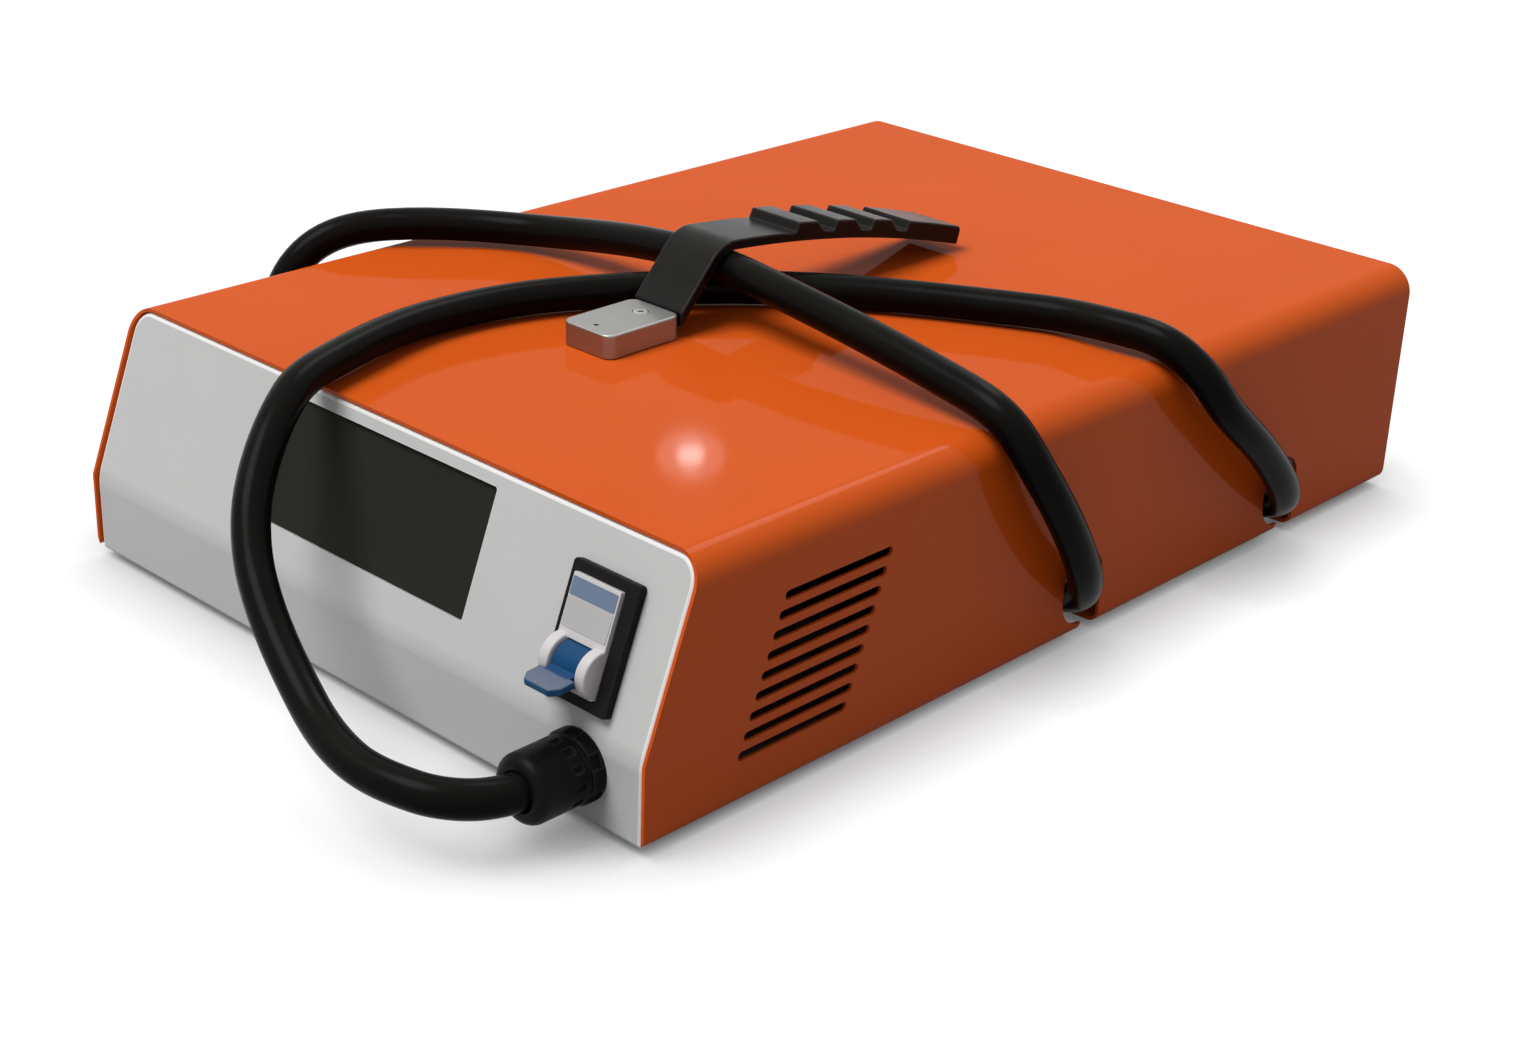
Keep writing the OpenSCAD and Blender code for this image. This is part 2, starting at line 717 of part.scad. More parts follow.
module gland_nut() {
  length = gland_reach + panel_rec - gland_flange_t;
  wall_r = gland_thread_r + 2.9;
  nose_r = 5;
  rib_n = 12;
  cup_h = gland_core_h + seal_t + 3.4;
  color("black") on_lower_front(gland_mid_x, gland_mid_z, front_y + panel_rec - gland_flange_t) difference() {
    rotate_extrude() intersection() {
      union() {
        square([wall_r, length - nose_r]);
        square([wall_r - nose_r, length]);
        translate([wall_r - nose_r, length - nose_r]) circle(nose_r);
      }
      square([2 * wall_r, length]);
    }
    translate([0, 0, -1]) cylinder(r = lead_d / 2 + 0.5, h = length + 2);
    translate([0, 0, length - nut_cup])
      cylinder(r1 = lead_d / 2 + 0.5, r2 = lead_d / 2 + 2, h = nut_cup + 0.01);
    translate([0, 0, -1]) cylinder(r = gland_core_r + fit_gap, h = cup_h + 1);
    for (i = [0 : rib_n - 1]) rotate([0, 0, i * 360 / rib_n]) translate([wall_r - 1.2, -1.6, 3])
      cube([4, 3.2, 5]);
    for (i = [0 : 5]) rotate([0, 0, 15 + i * 60]) translate([wall_r - 0.7, -0.8, 9]) cube([4, 1.6, length]);
  }
}

module gland_seal() {
  seal_y = front_y + panel_rec - gland_flange_t - gland_core_h - 0.1;
  color("black") on_lower_front(gland_mid_x, gland_mid_z, seal_y) difference() {
    cylinder(r = gland_core_r - fit_gap, h = seal_t);
    translate([0, 0, -1]) cylinder(r = lead_d / 2 + seal_room, h = seal_t + 2);
  }
}

module gland_locknut() {
  nut_r = gland_thread_r + 2.6;
  nut_t = 5;
  color("black") on_lower_front(gland_mid_x, gland_mid_z, panel_inner_y + nut_t) difference() {
    cylinder(r = nut_r, h = nut_t, $fn = 6);
    translate([0, 0, -1]) cylinder(r = gland_thread_r + 0.1, h = nut_t + 2);
  }
}

module strap_plate() {
  rim = 1;
  corner_r = 5;
  color("silver") translate([strap_x, front_y + plate_y, top_z]) difference() {
    translate([0, plate_len / 2, 0]) {
      linear_extrude(plate_h - rim) plate_outline(strap_w, plate_len, corner_r);
      translate([0, 0, plate_h - rim - 0.01]) linear_extrude(rim + 0.01)
        plate_outline(strap_w - 2 * rim, plate_len - 2 * rim, corner_r - rim);
    }
    translate([-tongue_w / 2 - fit_gap, plate_len - tongue_len - fit_gap, strap_root[1] - fit_gap])
      cube([tongue_w + 2 * fit_gap, tongue_len + 1, tongue_t + 2 * fit_gap]);
    translate([0, plate_screw_y - plate_y, -1]) {
      cylinder(r = screw_r + screw_clear, h = plate_h + 2);
      translate([0, 0, plate_h - screw_head_h + 1])
        cylinder(r = screw_head_r + screw_clear, h = screw_head_h + 1);
    }
    translate([0, plate_hole_y - plate_y, plate_h - plate_hole_h])
      cylinder(r = plate_hole_r, h = plate_hole_h + 1);
  }
}

module strap() {
  root_h = strap_root[1];
  color("black") {
    difference() {
      along_x(strap_w, strap_x) translate([front_y, top_z]) polygon(concat(
        [for (k = strap_profile) let (p = strap_at(k[0])) p[0] + k[1] * [-sin(p[1]), cos(p[1])]],
        [for (k = [len(strap_profile) - 1 : -1 : 0]) strap_at(strap_profile[k][0])[0]]));
      translate([-case_w, front_y, 0]) cube([2 * case_w, plate_end + fit_gap, 2 * top_z]);
    }
    translate([strap_x - tongue_w / 2, front_y + plate_end - tongue_len, top_z + root_h]) difference() {
      cube([tongue_w, tongue_len + strap_t, tongue_t]);
      translate([tongue_w / 2, tongue_len - plate_end + plate_screw_y, -1])
        cylinder(r = screw_r + screw_clear, h = tongue_t + 2);
    }
  }
}

module strap_screws() {
  shank = plate_h + cover_t + 4 - screw_head_h;
  socket_h = 1.4;
  color("silver") translate([strap_x, front_y + plate_screw_y, top_z]) difference() {
    union() {
      translate([0, 0, plate_h - screw_head_h - shank]) cylinder(r = screw_r, h = shank + 0.01);
      translate([0, 0, plate_h - screw_head_h]) cylinder(r = screw_head_r, h = screw_head_h - fit_gap);
    }
    translate([0, 0, plate_h - socket_h]) cylinder(r = 1.6, h = 2 * socket_h, $fn = 6);
  }
}

module lead() {
  path = [for (p = curve(lead_route, lead_steps)) p + [0, front_y, 0]];
  way = tangents(path);
  side = carried(way, [0, 0, 1]);
  last = len(path) - 1;
  n = lead_sides;
  color("black") polyhedron(rings(path, way, side, lead_d / 2, n), concat(
    [[for (j = [0 : n - 1]) j]],
    [for (k = [0 : last - 1]) for (j = [0 : n - 1])
      [k * n + j, (k + 1) * n + j, (k + 1) * n + (j + 1) % n, k * n + (j + 1) % n]],
    [[for (j = [n - 1 : -1 : 0]) last * n + j]]));
}

module plug_housing() {
  color("gray") translate([plug_x - plug_len, plug_y, plug_z]) difference() {
    rotate([90, 0, 90]) linear_extrude(plug_len) plate_outline(plug_w, plug_h - 1.6, 4);
    for (s = [-1, 1]) {
      translate([-1, s * plug_w / 4, 0]) rotate([0, 90, 0]) cylinder(r = contact_r + 2, h = plug_len - 14);
      translate([plug_len * 0.62, s * plug_w / 2, 0]) cylinder(r = 5, h = plug_h, center = true);
    }
  }
}

module plug_contacts() {
  color("silver") for (s = [-1, 1]) translate([plug_x - plug_len + 6, plug_y + s * plug_w / 4, plug_z])
    rotate([0, 90, 0]) cylinder(r = contact_r, h = plug_len - 21);
}

module main_board() {
  color("darkgreen") translate([-board_w / 2, front_y + board_y, board_z]) cube([board_w, board_d, board_t]);
}

module board_standoffs() {
  inset = 12;
  color("silver") for (sx = [-1, 1], sy = [-1, 0, 1])
    translate([sx * (board_w / 2 - inset), board_mid_y + sy * (board_d / 2 - inset), bay_top])
      cylinder(r = 4, h = standoff_h, $fn = 6);
}

// Finned bar along Y on the board, with its base on the side s
module heat_sink(x, s) {
  translate([x, board_mid_y - sink_len / 2, board_top]) {
    translate([-sink_base / 2, 0, 0]) cube([sink_base, sink_len, sink_h]);
    for (i = [0 : fin_n - 1])
      translate([s * (sink_base + fin_len - 0.01) / 2 - fin_len / 2, 0, i * (sink_h - fin_t) / (fin_n - 1)])
        cube([fin_len, sink_len, fin_t]);
  }
}

module primary_heat_sink() {
  color("silver") heat_sink(-board_w / 2 + sink_inset, -1);
}

module secondary_heat_sink() {
  color("silver") heat_sink(board_w / 2 - sink_inset, 1);
}

// Row of flat power devices on a heat sink's bare side
module device_row(x, count) {
  for (i = [0 : count - 1])
    translate([x, board_mid_y - sink_len / 2 + (i + 0.5) * sink_len / count - device_w / 2, board_top])
      cube([device_t, device_w, device_h]);
}

module power_switches() {
  color("black") device_row(-board_w / 2 + sink_inset + sink_base / 2, 6);
}

module output_rectifiers() {
  color("black") device_row(board_w / 2 - sink_inset - sink_base / 2 - device_t, 4);
}

// Ferrite core with two windows for its winding
module transformer_core() {
  window_x = (core_l - core_leg - core_window) / 2;
  color("dimgray") translate([core_x, board_mid_y, board_top]) difference() {
    translate([-core_l / 2, -core_w / 2, 0]) cube([core_l, core_w, core_h]);
    for (s = [-1, 1]) translate([s * window_x - core_window / 2, -core_w, core_leg / 2])
      cube([core_window, 2 * core_w, core_h - core_leg]);
  }
}

// Coil round the middle leg, a loose fit in the windows
module transformer_winding() {
  overhang = 8;
  play = 0.3;
  side = core_leg / 2 + 1.5;
  coil_w = core_l - 2 * side;
  leg_w = core_l - core_leg - 2 * core_window + 2 * play;
  coil_h = core_h - core_leg - 2 * play;
  color("goldenrod") translate([core_x, board_mid_y, board_top + core_leg / 2 + play])
    linear_extrude(coil_h) difference() {
      square([coil_w, core_w + 2 * overhang], center = true);
      square([leg_w, core_w + 2 * play], center = true);
    }
}

module storage_choke() {
  turn_n = 18;
  color("darkorange") translate([core_x, board_mid_y + choke_y, board_top])
    linear_extrude(choke_h) difference() {
      circle(choke_r);
      circle(choke_hole_r);
      for (i = [0 : turn_n - 1]) rotate(i * 360 / turn_n) translate([choke_r, 0]) circle(1.4, $fn = 16);
    }
}

module bulk_capacitors() {
  color("midnightblue") for (i = [0 : capacitor_n - 1])
    translate([core_x - capacitor_x, board_mid_y + (i - capacitor_n / 2) * capacitor_pitch, board_top])
      cylinder(r = capacitor_r, h = capacitor_h);
}

module input_relay() {
  color("black") translate([core_x + relay_x, board_mid_y - relay_y, board_top]) cube(relay_size);
}

module terminal_block() {
  pitch = terminal_size[0] / terminal_n;
  color("darkgreen") translate([core_x / 2, board_mid_y - board_d / 2 + terminal_edge, board_top])
    difference() {
      cube(terminal_size);
      for (i = [0 : terminal_n - 1]) translate([(i + 0.5) * pitch, terminal_size[1] / 2, 8])
        cylinder(r = 3.4, h = terminal_size[2]);
    }
}

module output_busbars() {
  color("chocolate") for (s = [0, 1])
    translate([core_x + busbar_x + s * busbar_gap, board_mid_y - busbar_y, board_top]) cube(busbar_size);
}

module supply_gland() {
  thread_len = 16;
  flange_t = 6;
  color("black") translate([supply_x, rear_face_y, supply_z]) rotate([-90, 0, 0]) rotate_extrude() polygon([
    [supply_bore_r, -thread_len], [supply_thread_r, -thread_len], [supply_thread_r, 0], [supply_flange_r, 0],
    [supply_flange_r, flange_t - 1], [supply_flange_r - 1, flange_t], [supply_thread_r + 1.5, flange_t],
    [supply_thread_r + 1.5, supply_reach - 4], [supply_thread_r - 1, supply_reach],
    [supply_bore_r, supply_reach]]);
}

module supply_locknut() {
  color("black") translate([supply_x, rear_inner_y - 5, supply_z]) rotate([-90, 0, 0]) difference() {
    cylinder(r = supply_thread_r + 4, h = 5, $fn = 6);
    translate([0, 0, -1]) cylinder(r = supply_thread_r + 0.1, h = 7);
  }
}

module fan_frame() {
  color("black") difference() {
    union() {
      difference() {
        along_y(fan_y, rear_inner_y) translate([fan_x, fan_z]) plate_outline(fan_w, fan_w, 5);
        translate([fan_x, fan_y - 1, fan_z]) rotate([-90, 0, 0]) cylinder(r = fan_bore_r, h = fan_t + 2);
      }
      translate([fan_x, fan_y, fan_z]) rotate([-90, 0, 0]) {
        cylinder(r = fan_hub_r, h = arm_t);
        cylinder(r = fan_pin_r, h = fan_t - 6);
        for (i = [0 : 3]) rotate([0, 0, 45 + i * 90]) translate([0, -arm_w / 2, 0])
          cube([fan_bore_r + 1, arm_w, arm_t]);
      }
    }
    at_fan_screws() translate([0, fan_y - 1, 0]) rotate([-90, 0, 0])
      cylinder(r = screw_r + screw_clear, h = fan_t + 2);
  }
}

module fan_rotor() {
  rotor_t = fan_t - arm_t - 2 * fan_run - 1.5;
  blade_r = fan_bore_r - 1.2;
  blade_t = 2;
  blade_pitch = 38;
  color("dimgray") translate([fan_x, fan_y + arm_t + fan_run, fan_z]) rotate([-90, 0, 0]) difference() {
    union() {
      cylinder(r = fan_hub_r - 1, h = rotor_t);
      intersection() {
        cylinder(r = blade_r, h = rotor_t);
        for (i = [0 : blade_n - 1]) rotate([0, 0, i * 360 / blade_n])
          translate([fan_hub_r - 3, 0, rotor_t / 2]) rotate([blade_pitch, 0, 0])
            translate([0, -blade_t / 2, -rotor_t]) cube([blade_r, blade_t, 2 * rotor_t]);
      }
    }
    translate([0, 0, -1]) cylinder(r = fan_pin_r + run_gap, h = fan_t - arm_t - 5);
  }
}

module fan_guard() {
  wire = 2;
  ring_n = 4;
  ear_r = fan_hole * sqrt(2);
  guard_ear_r = 4;
  color("silver") translate([fan_x, rear_face_y, fan_z]) rotate([-90, 0, 0]) linear_extrude(guard_t)
    difference() {
      union() {
        for (i = [1 : ring_n]) difference() {
          circle(i * fan_bore_r / ring_n + wire / 2);
          circle(i * fan_bore_r / ring_n - wire / 2);
        }
        for (i = [0 : 3]) rotate(45 + i * 90) {
          translate([fan_bore_r / ring_n, -wire / 2]) square([ear_r - fan_bore_r / ring_n, wire]);
          translate([ear_r, 0]) circle(guard_ear_r);
        }
      }
      for (i = [0 : 3]) rotate(45 + i * 90) translate([ear_r, 0]) circle(screw_r + screw_clear);
    }
}

module fan_screws() {
  color("silver") at_fan_screws() translate([0, rear_face_y + guard_t, 0]) rotate([-90, 0, 0]) {
    cylinder(r = screw_head_r, h = screw_head_h);
    translate([0, 0, -fan_t - panel_t]) cylinder(r = screw_r, h = fan_t + panel_t + 0.01);
  }
}

cover();
front_panel();
rear_panel();
base_tray();
front_feet();
rear_feet();
cover_screws();
display_window();
display_module();
breaker_bezel();
breaker_body();
breaker_lever();
breaker_rail();
rail_posts();
gland_body();
gland_nut();
gland_seal();
gland_locknut();
strap_plate();
strap();
strap_screws();
lead();
plug_housing();
plug_contacts();
main_board();
board_standoffs();
primary_heat_sink();
secondary_heat_sink();
power_switches();
output_rectifiers();
transformer_core();
transformer_winding();
storage_choke();
bulk_capacitors();
input_relay();
terminal_block();
output_busbars();
supply_gland();
supply_locknut();
fan_frame();
fan_rotor();
fan_guard();
fan_screws();
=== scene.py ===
"""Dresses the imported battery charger: folded shells, breaker, gland, strapped lead and studio."""

import logging
import math
from dataclasses import dataclass, field
from enum import Enum
from typing import Callable, Iterable, Optional, Sequence

import bpy
from mathutils import Matrix, Vector

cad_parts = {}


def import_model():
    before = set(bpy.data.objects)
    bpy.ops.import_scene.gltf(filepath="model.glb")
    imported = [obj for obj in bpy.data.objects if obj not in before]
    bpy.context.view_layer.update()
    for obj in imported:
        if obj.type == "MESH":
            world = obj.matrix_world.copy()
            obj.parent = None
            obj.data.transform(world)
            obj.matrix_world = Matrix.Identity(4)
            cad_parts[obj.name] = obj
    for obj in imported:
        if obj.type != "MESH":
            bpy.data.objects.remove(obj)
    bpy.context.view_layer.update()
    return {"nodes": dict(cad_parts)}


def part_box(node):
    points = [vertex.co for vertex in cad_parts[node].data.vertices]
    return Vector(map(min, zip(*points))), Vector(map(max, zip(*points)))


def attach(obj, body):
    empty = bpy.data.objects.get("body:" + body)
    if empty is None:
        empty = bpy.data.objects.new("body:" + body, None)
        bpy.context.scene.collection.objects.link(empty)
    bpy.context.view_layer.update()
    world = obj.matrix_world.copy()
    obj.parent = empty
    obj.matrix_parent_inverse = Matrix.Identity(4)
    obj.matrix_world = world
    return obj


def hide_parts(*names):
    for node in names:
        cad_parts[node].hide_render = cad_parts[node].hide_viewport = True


LOG = logging.getLogger("charger")
CASE = "case"
LEVER = "breaker_lever"
MM = 0.001
UP = Vector((0.0, 0.0, 1.0))
RIGHT = Vector((1.0, 0.0, 0.0))
# Share of a direction, up to 1, from which it counts as lying along an axis, and as facing it squarely.
ALONG = 0.9
SQUARE = 0.99
# Places closer together than this count as one.
NEAR = 1 * MM
# Places on the front that several pieces share: offset to the right, and height along or above the front.
BREAKER_AT = (145 * MM, 38 * MM)
GLAND_AT = (152 * MM, 24 * MM)

Outline = list[tuple[float, float]]
Place = tuple[float, float, float]
Colour = tuple[int, int, int]
Test = Callable[[Vector, Vector], bool]


class Pick(Enum):
    """What a selection in edit mode holds."""

    VERTS = "VERT"
    EDGES = "EDGE"
    FACES = "FACE"


class Socket(Enum):
    """What a socket of a shader group carries."""

    FLOAT = "NodeSocketFloat"
    VECTOR = "NodeSocketVector"
    COLOUR = "NodeSocketColor"


def linear(red: int, green: int, blue: int) -> tuple[float, float, float, float]:
    """Turns a colour of the screen, 0 to 255, into linear light by the standard curve.

    Args:
        red: Red value.
        green: Green value.
        blue: Blue value.

    Returns:
        The colour with an alpha of 1.
    """
    tones = []
    for value in (red, green, blue):
        tone = value / 255.0
        tones.append(tone / 12.92 if tone <= 0.04045 else ((tone + 0.055) / 1.055) ** 2.4)
    return (tones[0], tones[1], tones[2], 1.0)


@dataclass(frozen=True)
class Finish:
    """Look of one material: its colour, gloss, grain, and its edge wear, which on the strap also stands in
    for painted highlights.
    """

    name: str
    colour: Colour
    rough: float
    metal: float = 0.0
    coat: float = 0.0
    coat_rough: float = 0.1
    specular: float = 0.5
    grain_scale: float = 900.0
    grain_depth: float = 0.1
    rough_spread: float = 0.08
    drift: float = 0.06
    drift_scale: float = 9.0
    wear_and_sheen_colour: Colour = (120, 120, 120)
    wear_and_sheen: float = 0.0
    dust: float = 0.0
    stretch: Place = (1.0, 1.0, 1.0)


ORANGE_PAINT = Finish("orange_paint", (221, 91, 24), 0.4, coat=0.15, coat_rough=0.05, specular=0.0,
                      grain_scale=420.0, grain_depth=0.035, drift=0.05, wear_and_sheen_colour=(236, 130, 74), wear_and_sheen=0.08,
                      dust=0.012)
# Brighter copy of the grey paint that paints a highlight along the front panel's rounded rim.
PAINTED_RIM_HIGHLIGHT = Finish("painted_rim_highlight", (246, 246, 245), 0.3, grain_scale=700.0, grain_depth=0.04, drift=0.05)
GREY_PAINT = Finish("grey_paint", (206, 206, 205), 0.36, specular=0.25, grain_scale=700.0, grain_depth=0.05,
                    drift=0.04, wear_and_sheen_colour=(238, 238, 238), wear_and_sheen=0.3)
ZINC_SHEET = Finish("zinc_sheet", (176, 178, 181), 0.38, metal=1.0, grain_scale=260.0, grain_depth=0.04,
                    rough_spread=0.16, drift=0.12, drift_scale=30.0, stretch=(1.0, 6.0, 1.0))
ZINC_STEEL = Finish("zinc_steel", (186, 186, 184), 0.3, metal=1.0, grain_scale=800.0, grain_depth=0.05,
                    rough_spread=0.14, drift=0.08)
SATIN_ALUMINIUM = Finish("satin_aluminium", (150, 149, 147), 0.4, metal=1.0, grain_scale=500.0,
                         grain_depth=0.05, rough_spread=0.12, drift=0.05, stretch=(1.0, 12.0, 1.0))
RUBBER = Finish("rubber", (27, 27, 26), 0.5, specular=0.08, grain_scale=1100.0, grain_depth=0.12,
                rough_spread=0.12, drift=0.2, wear_and_sheen_colour=(86, 83, 81), wear_and_sheen=0.45, dust=0.02)
# The strap's strong, pale edge wear is partly real scuffing and partly a painted highlight along its teeth
# and pad.
STRAP_RUBBER = Finish("strap_rubber", (15, 15, 14), 0.3, specular=0.09, grain_scale=900.0, grain_depth=0.1,
                      rough_spread=0.2, drift=0.2, wear_and_sheen_colour=(104, 99, 96), wear_and_sheen=0.7, dust=0.04)
LEAD_JACKET = Finish("lead_jacket", (12, 12, 11), 0.24, specular=0.03, grain_scale=700.0, grain_depth=0.06,
                     rough_spread=0.1, drift=0.15, drift_scale=22.0, wear_and_sheen_colour=(64, 63, 62), wear_and_sheen=0.2,
                     dust=0.02)
DARK_WINDOW = Finish("dark_window", (42, 43, 38), 0.4, specular=0.02, grain_scale=1500.0, grain_depth=0.01,
                     rough_spread=0.05, drift=0.06, dust=0.02)
BOARD = Finish("circuit_board", (28, 92, 56), 0.4, coat=0.3, grain_scale=240.0, grain_depth=0.08, drift=0.25,
               drift_scale=120.0)
DARK_PLASTIC = Finish("dark_plastic", (27, 26, 25), 0.46, specular=0.05, grain_scale=1600.0,
                      grain_depth=0.16, drift=0.1, wear_and_sheen_colour=(80, 78, 76), wear_and_sheen=0.3)
WHITE_PLASTIC = Finish("white_plastic", (212, 208, 208), 0.4, specular=0.3, grain_scale=1500.0,
                       grain_depth=0.06, drift=0.03, wear_and_sheen_colour=(240, 239, 238), wear_and_sheen=0.2)
BLUE_PLASTIC = Finish("blue_plastic", (10, 69, 113), 0.34, specular=0.08, grain_scale=1400.0,
                      grain_depth=0.06, drift=0.08, wear_and_sheen_colour=(92, 128, 158), wear_and_sheen=0.25, dust=0.06)
PADDLE_PLASTIC = Finish("paddle_plastic", (12, 70, 114), 0.36, specular=0.12, grain_scale=1400.0,
                        grain_depth=0.06, drift=0.08, wear_and_sheen_colour=(70, 120, 165), wear_and_sheen=0.3, dust=0.44)
BLACK_PLASTIC = Finish("black_plastic", (11, 11, 10), 0.4, specular=0.07, grain_scale=1300.0,
                       grain_depth=0.1, drift=0.12, wear_and_sheen_colour=(72, 71, 70), wear_and_sheen=0.4)
FAN_PLASTIC = Finish("fan_plastic", (64, 64, 62), 0.45, specular=0.2, grain_scale=1300.0, grain_depth=0.08,
                     drift=0.12)
BAND_PRINT = Finish("band_print", (104, 122, 146), 0.4, grain_scale=1500.0, grain_depth=0.03, drift=0.05)
LABEL_PRINT = Finish("label_print", (186, 185, 184), 0.45, grain_scale=1500.0, grain_depth=0.03, drift=0.05)
CONTACT_METAL = Finish("contact_metal", (206, 190, 146), 0.28, metal=1.0, grain_depth=0.04, drift=0.1)
FERRITE = Finish("ferrite", (58, 57, 58), 0.6, grain_scale=500.0, grain_depth=0.2, drift=0.2)
COPPER = Finish("copper", (184, 112, 66), 0.32, metal=1.0, grain_scale=300.0, grain_depth=0.1, drift=0.2,
                stretch=(1.0, 1.0, 8.0))
SLEEVE = Finish("capacitor_sleeve", (30, 36, 66), 0.28, coat=0.3, grain_depth=0.03, drift=0.1)

NODE_FINISHES: dict[str, Finish] = {
    "base_tray": ZINC_SHEET, "front_feet": RUBBER, "rear_feet": RUBBER, "cover_screws": ZINC_STEEL,
    "display_window": DARK_WINDOW, "display_module": BOARD, "breaker_rail": ZINC_STEEL,
    "rail_posts": ZINC_STEEL, "gland_seal": RUBBER, "gland_locknut": BLACK_PLASTIC,
    "strap_screws": ZINC_STEEL, "plug_contacts": CONTACT_METAL, "main_board": BOARD,
    "board_standoffs": ZINC_STEEL, "primary_heat_sink": SATIN_ALUMINIUM,
    "secondary_heat_sink": SATIN_ALUMINIUM, "power_switches": BLACK_PLASTIC,
    "output_rectifiers": BLACK_PLASTIC, "transformer_core": FERRITE, "transformer_winding": COPPER,
    "storage_choke": COPPER, "bulk_capacitors": SLEEVE, "input_relay": BLACK_PLASTIC,
    "terminal_block": BOARD, "output_busbars": COPPER, "supply_gland": BLACK_PLASTIC,
    "supply_locknut": BLACK_PLASTIC, "fan_frame": BLACK_PLASTIC, "fan_rotor": FAN_PLASTIC,
    "fan_screws": ZINC_STEEL, "plug_housing": DARK_PLASTIC,
}


class Nodes:
    """Steps that add nodes to a shader tree."""

    @staticmethod
    def feed(tree: bpy.types.NodeTree, slot: bpy.types.NodeSocket, value: object) -> None:
        """Links a socket into an input, or sets the input to a value.

        Args:
            tree: The tree.
            slot: The input.
            value: A socket, number or colour.
        """
        if isinstance(value, bpy.types.NodeSocket):
            tree.links.new(value, slot)
        else:
            slot.default_value = value

    @staticmethod
    def shared(name: str, inputs: dict[str, Socket], outputs: dict[str, Socket]) -> bpy.types.NodeTree:
        """Starts a shader group with its sockets.

        Args:
            name: Name of the group.
            inputs: Kind of socket by input name.
            outputs: Kind of socket by output name.

        Returns:
            The group, with an input and an output node.
        """
        tree = bpy.data.node_groups.new(name, "ShaderNodeTree")
        for way, sockets in (("INPUT", inputs), ("OUTPUT", outputs)):
            for label, kind in sockets.items():
                tree.interface.new_socket(label, in_out=way, socket_type=kind.value)
        tree.nodes.new("NodeGroupInput")
        tree.nodes.new("NodeGroupOutput")
        return tree

    @classmethod
    def calculate(cls, tree: bpy.types.NodeTree, operation: str, first: object, second: object,
                  clamp: bool = False) -> bpy.types.NodeSocket:
        """Adds a math node.

        Args:
            tree: Tree that takes the node.
            operation: Name of the operation.
            first: A socket or a number.
            second: A socket or a number.
            clamp: Keeps the result between 0 and 1.

        Returns:
            The node's result.
        """
        node = tree.nodes.new("ShaderNodeMath")
        node.operation = operation
        node.use_clamp = clamp
        cls.feed(tree, node.inputs[0], first)
        cls.feed(tree, node.inputs[1], second)
        return node.outputs[0]

    @classmethod
    def noise(cls, tree: bpy.types.NodeTree, vector: bpy.types.NodeSocket, scale: object,
              octaves: float) -> bpy.types.NodeSocket:
        """Adds a noise texture on a vector.

        Args:
            tree: Tree that takes the node.
            vector: Where the noise is read.
            scale: A socket or a number.
            octaves: Fineness of the noise.

        Returns:
            The noise's value.
        """
        node = tree.nodes.new("ShaderNodeTexNoise")
        for label, value in (("Detail", octaves), ("Vector", vector), ("Scale", scale)):
            cls.feed(tree, node.inputs[label], value)
        return node.outputs["Fac"]

    @classmethod
    def blend(cls, tree: bpy.types.NodeTree, share: bpy.types.NodeSocket, first: object,
              second: object) -> bpy.types.NodeSocket:
        """Adds a colour mix.

        Args:
            tree: Tree that takes the node.
            share: Share of the second colour.
            first: A socket or a colour.
            second: A socket or a colour.

        Returns:
            The mixed colour.
        """
        node = tree.nodes.new("ShaderNodeMix")
        node.data_type = "RGBA"
        # The mix node numbers its colour sockets after those for plain numbers and vectors.
        for slot, value in ((0, share), (6, first), (7, second)):
            cls.feed(tree, node.inputs[slot], value)
        return node.outputs[2]

    @classmethod
    def place(cls, tree: bpy.types.NodeTree, group: bpy.types.NodeTree,
              values: dict[str, object]) -> bpy.types.bpy_prop_collection:
        """Puts a shared group into a material.

        Args:
            tree: The material's tree.
            group: The group.
            values: A socket, number or colour by input name.

        Returns:
            The group's outputs.
        """
        node = tree.nodes.new("ShaderNodeGroup")
        node.node_tree = group
        for label, value in values.items():
            cls.feed(tree, node.inputs[label], value)
        return node.outputs


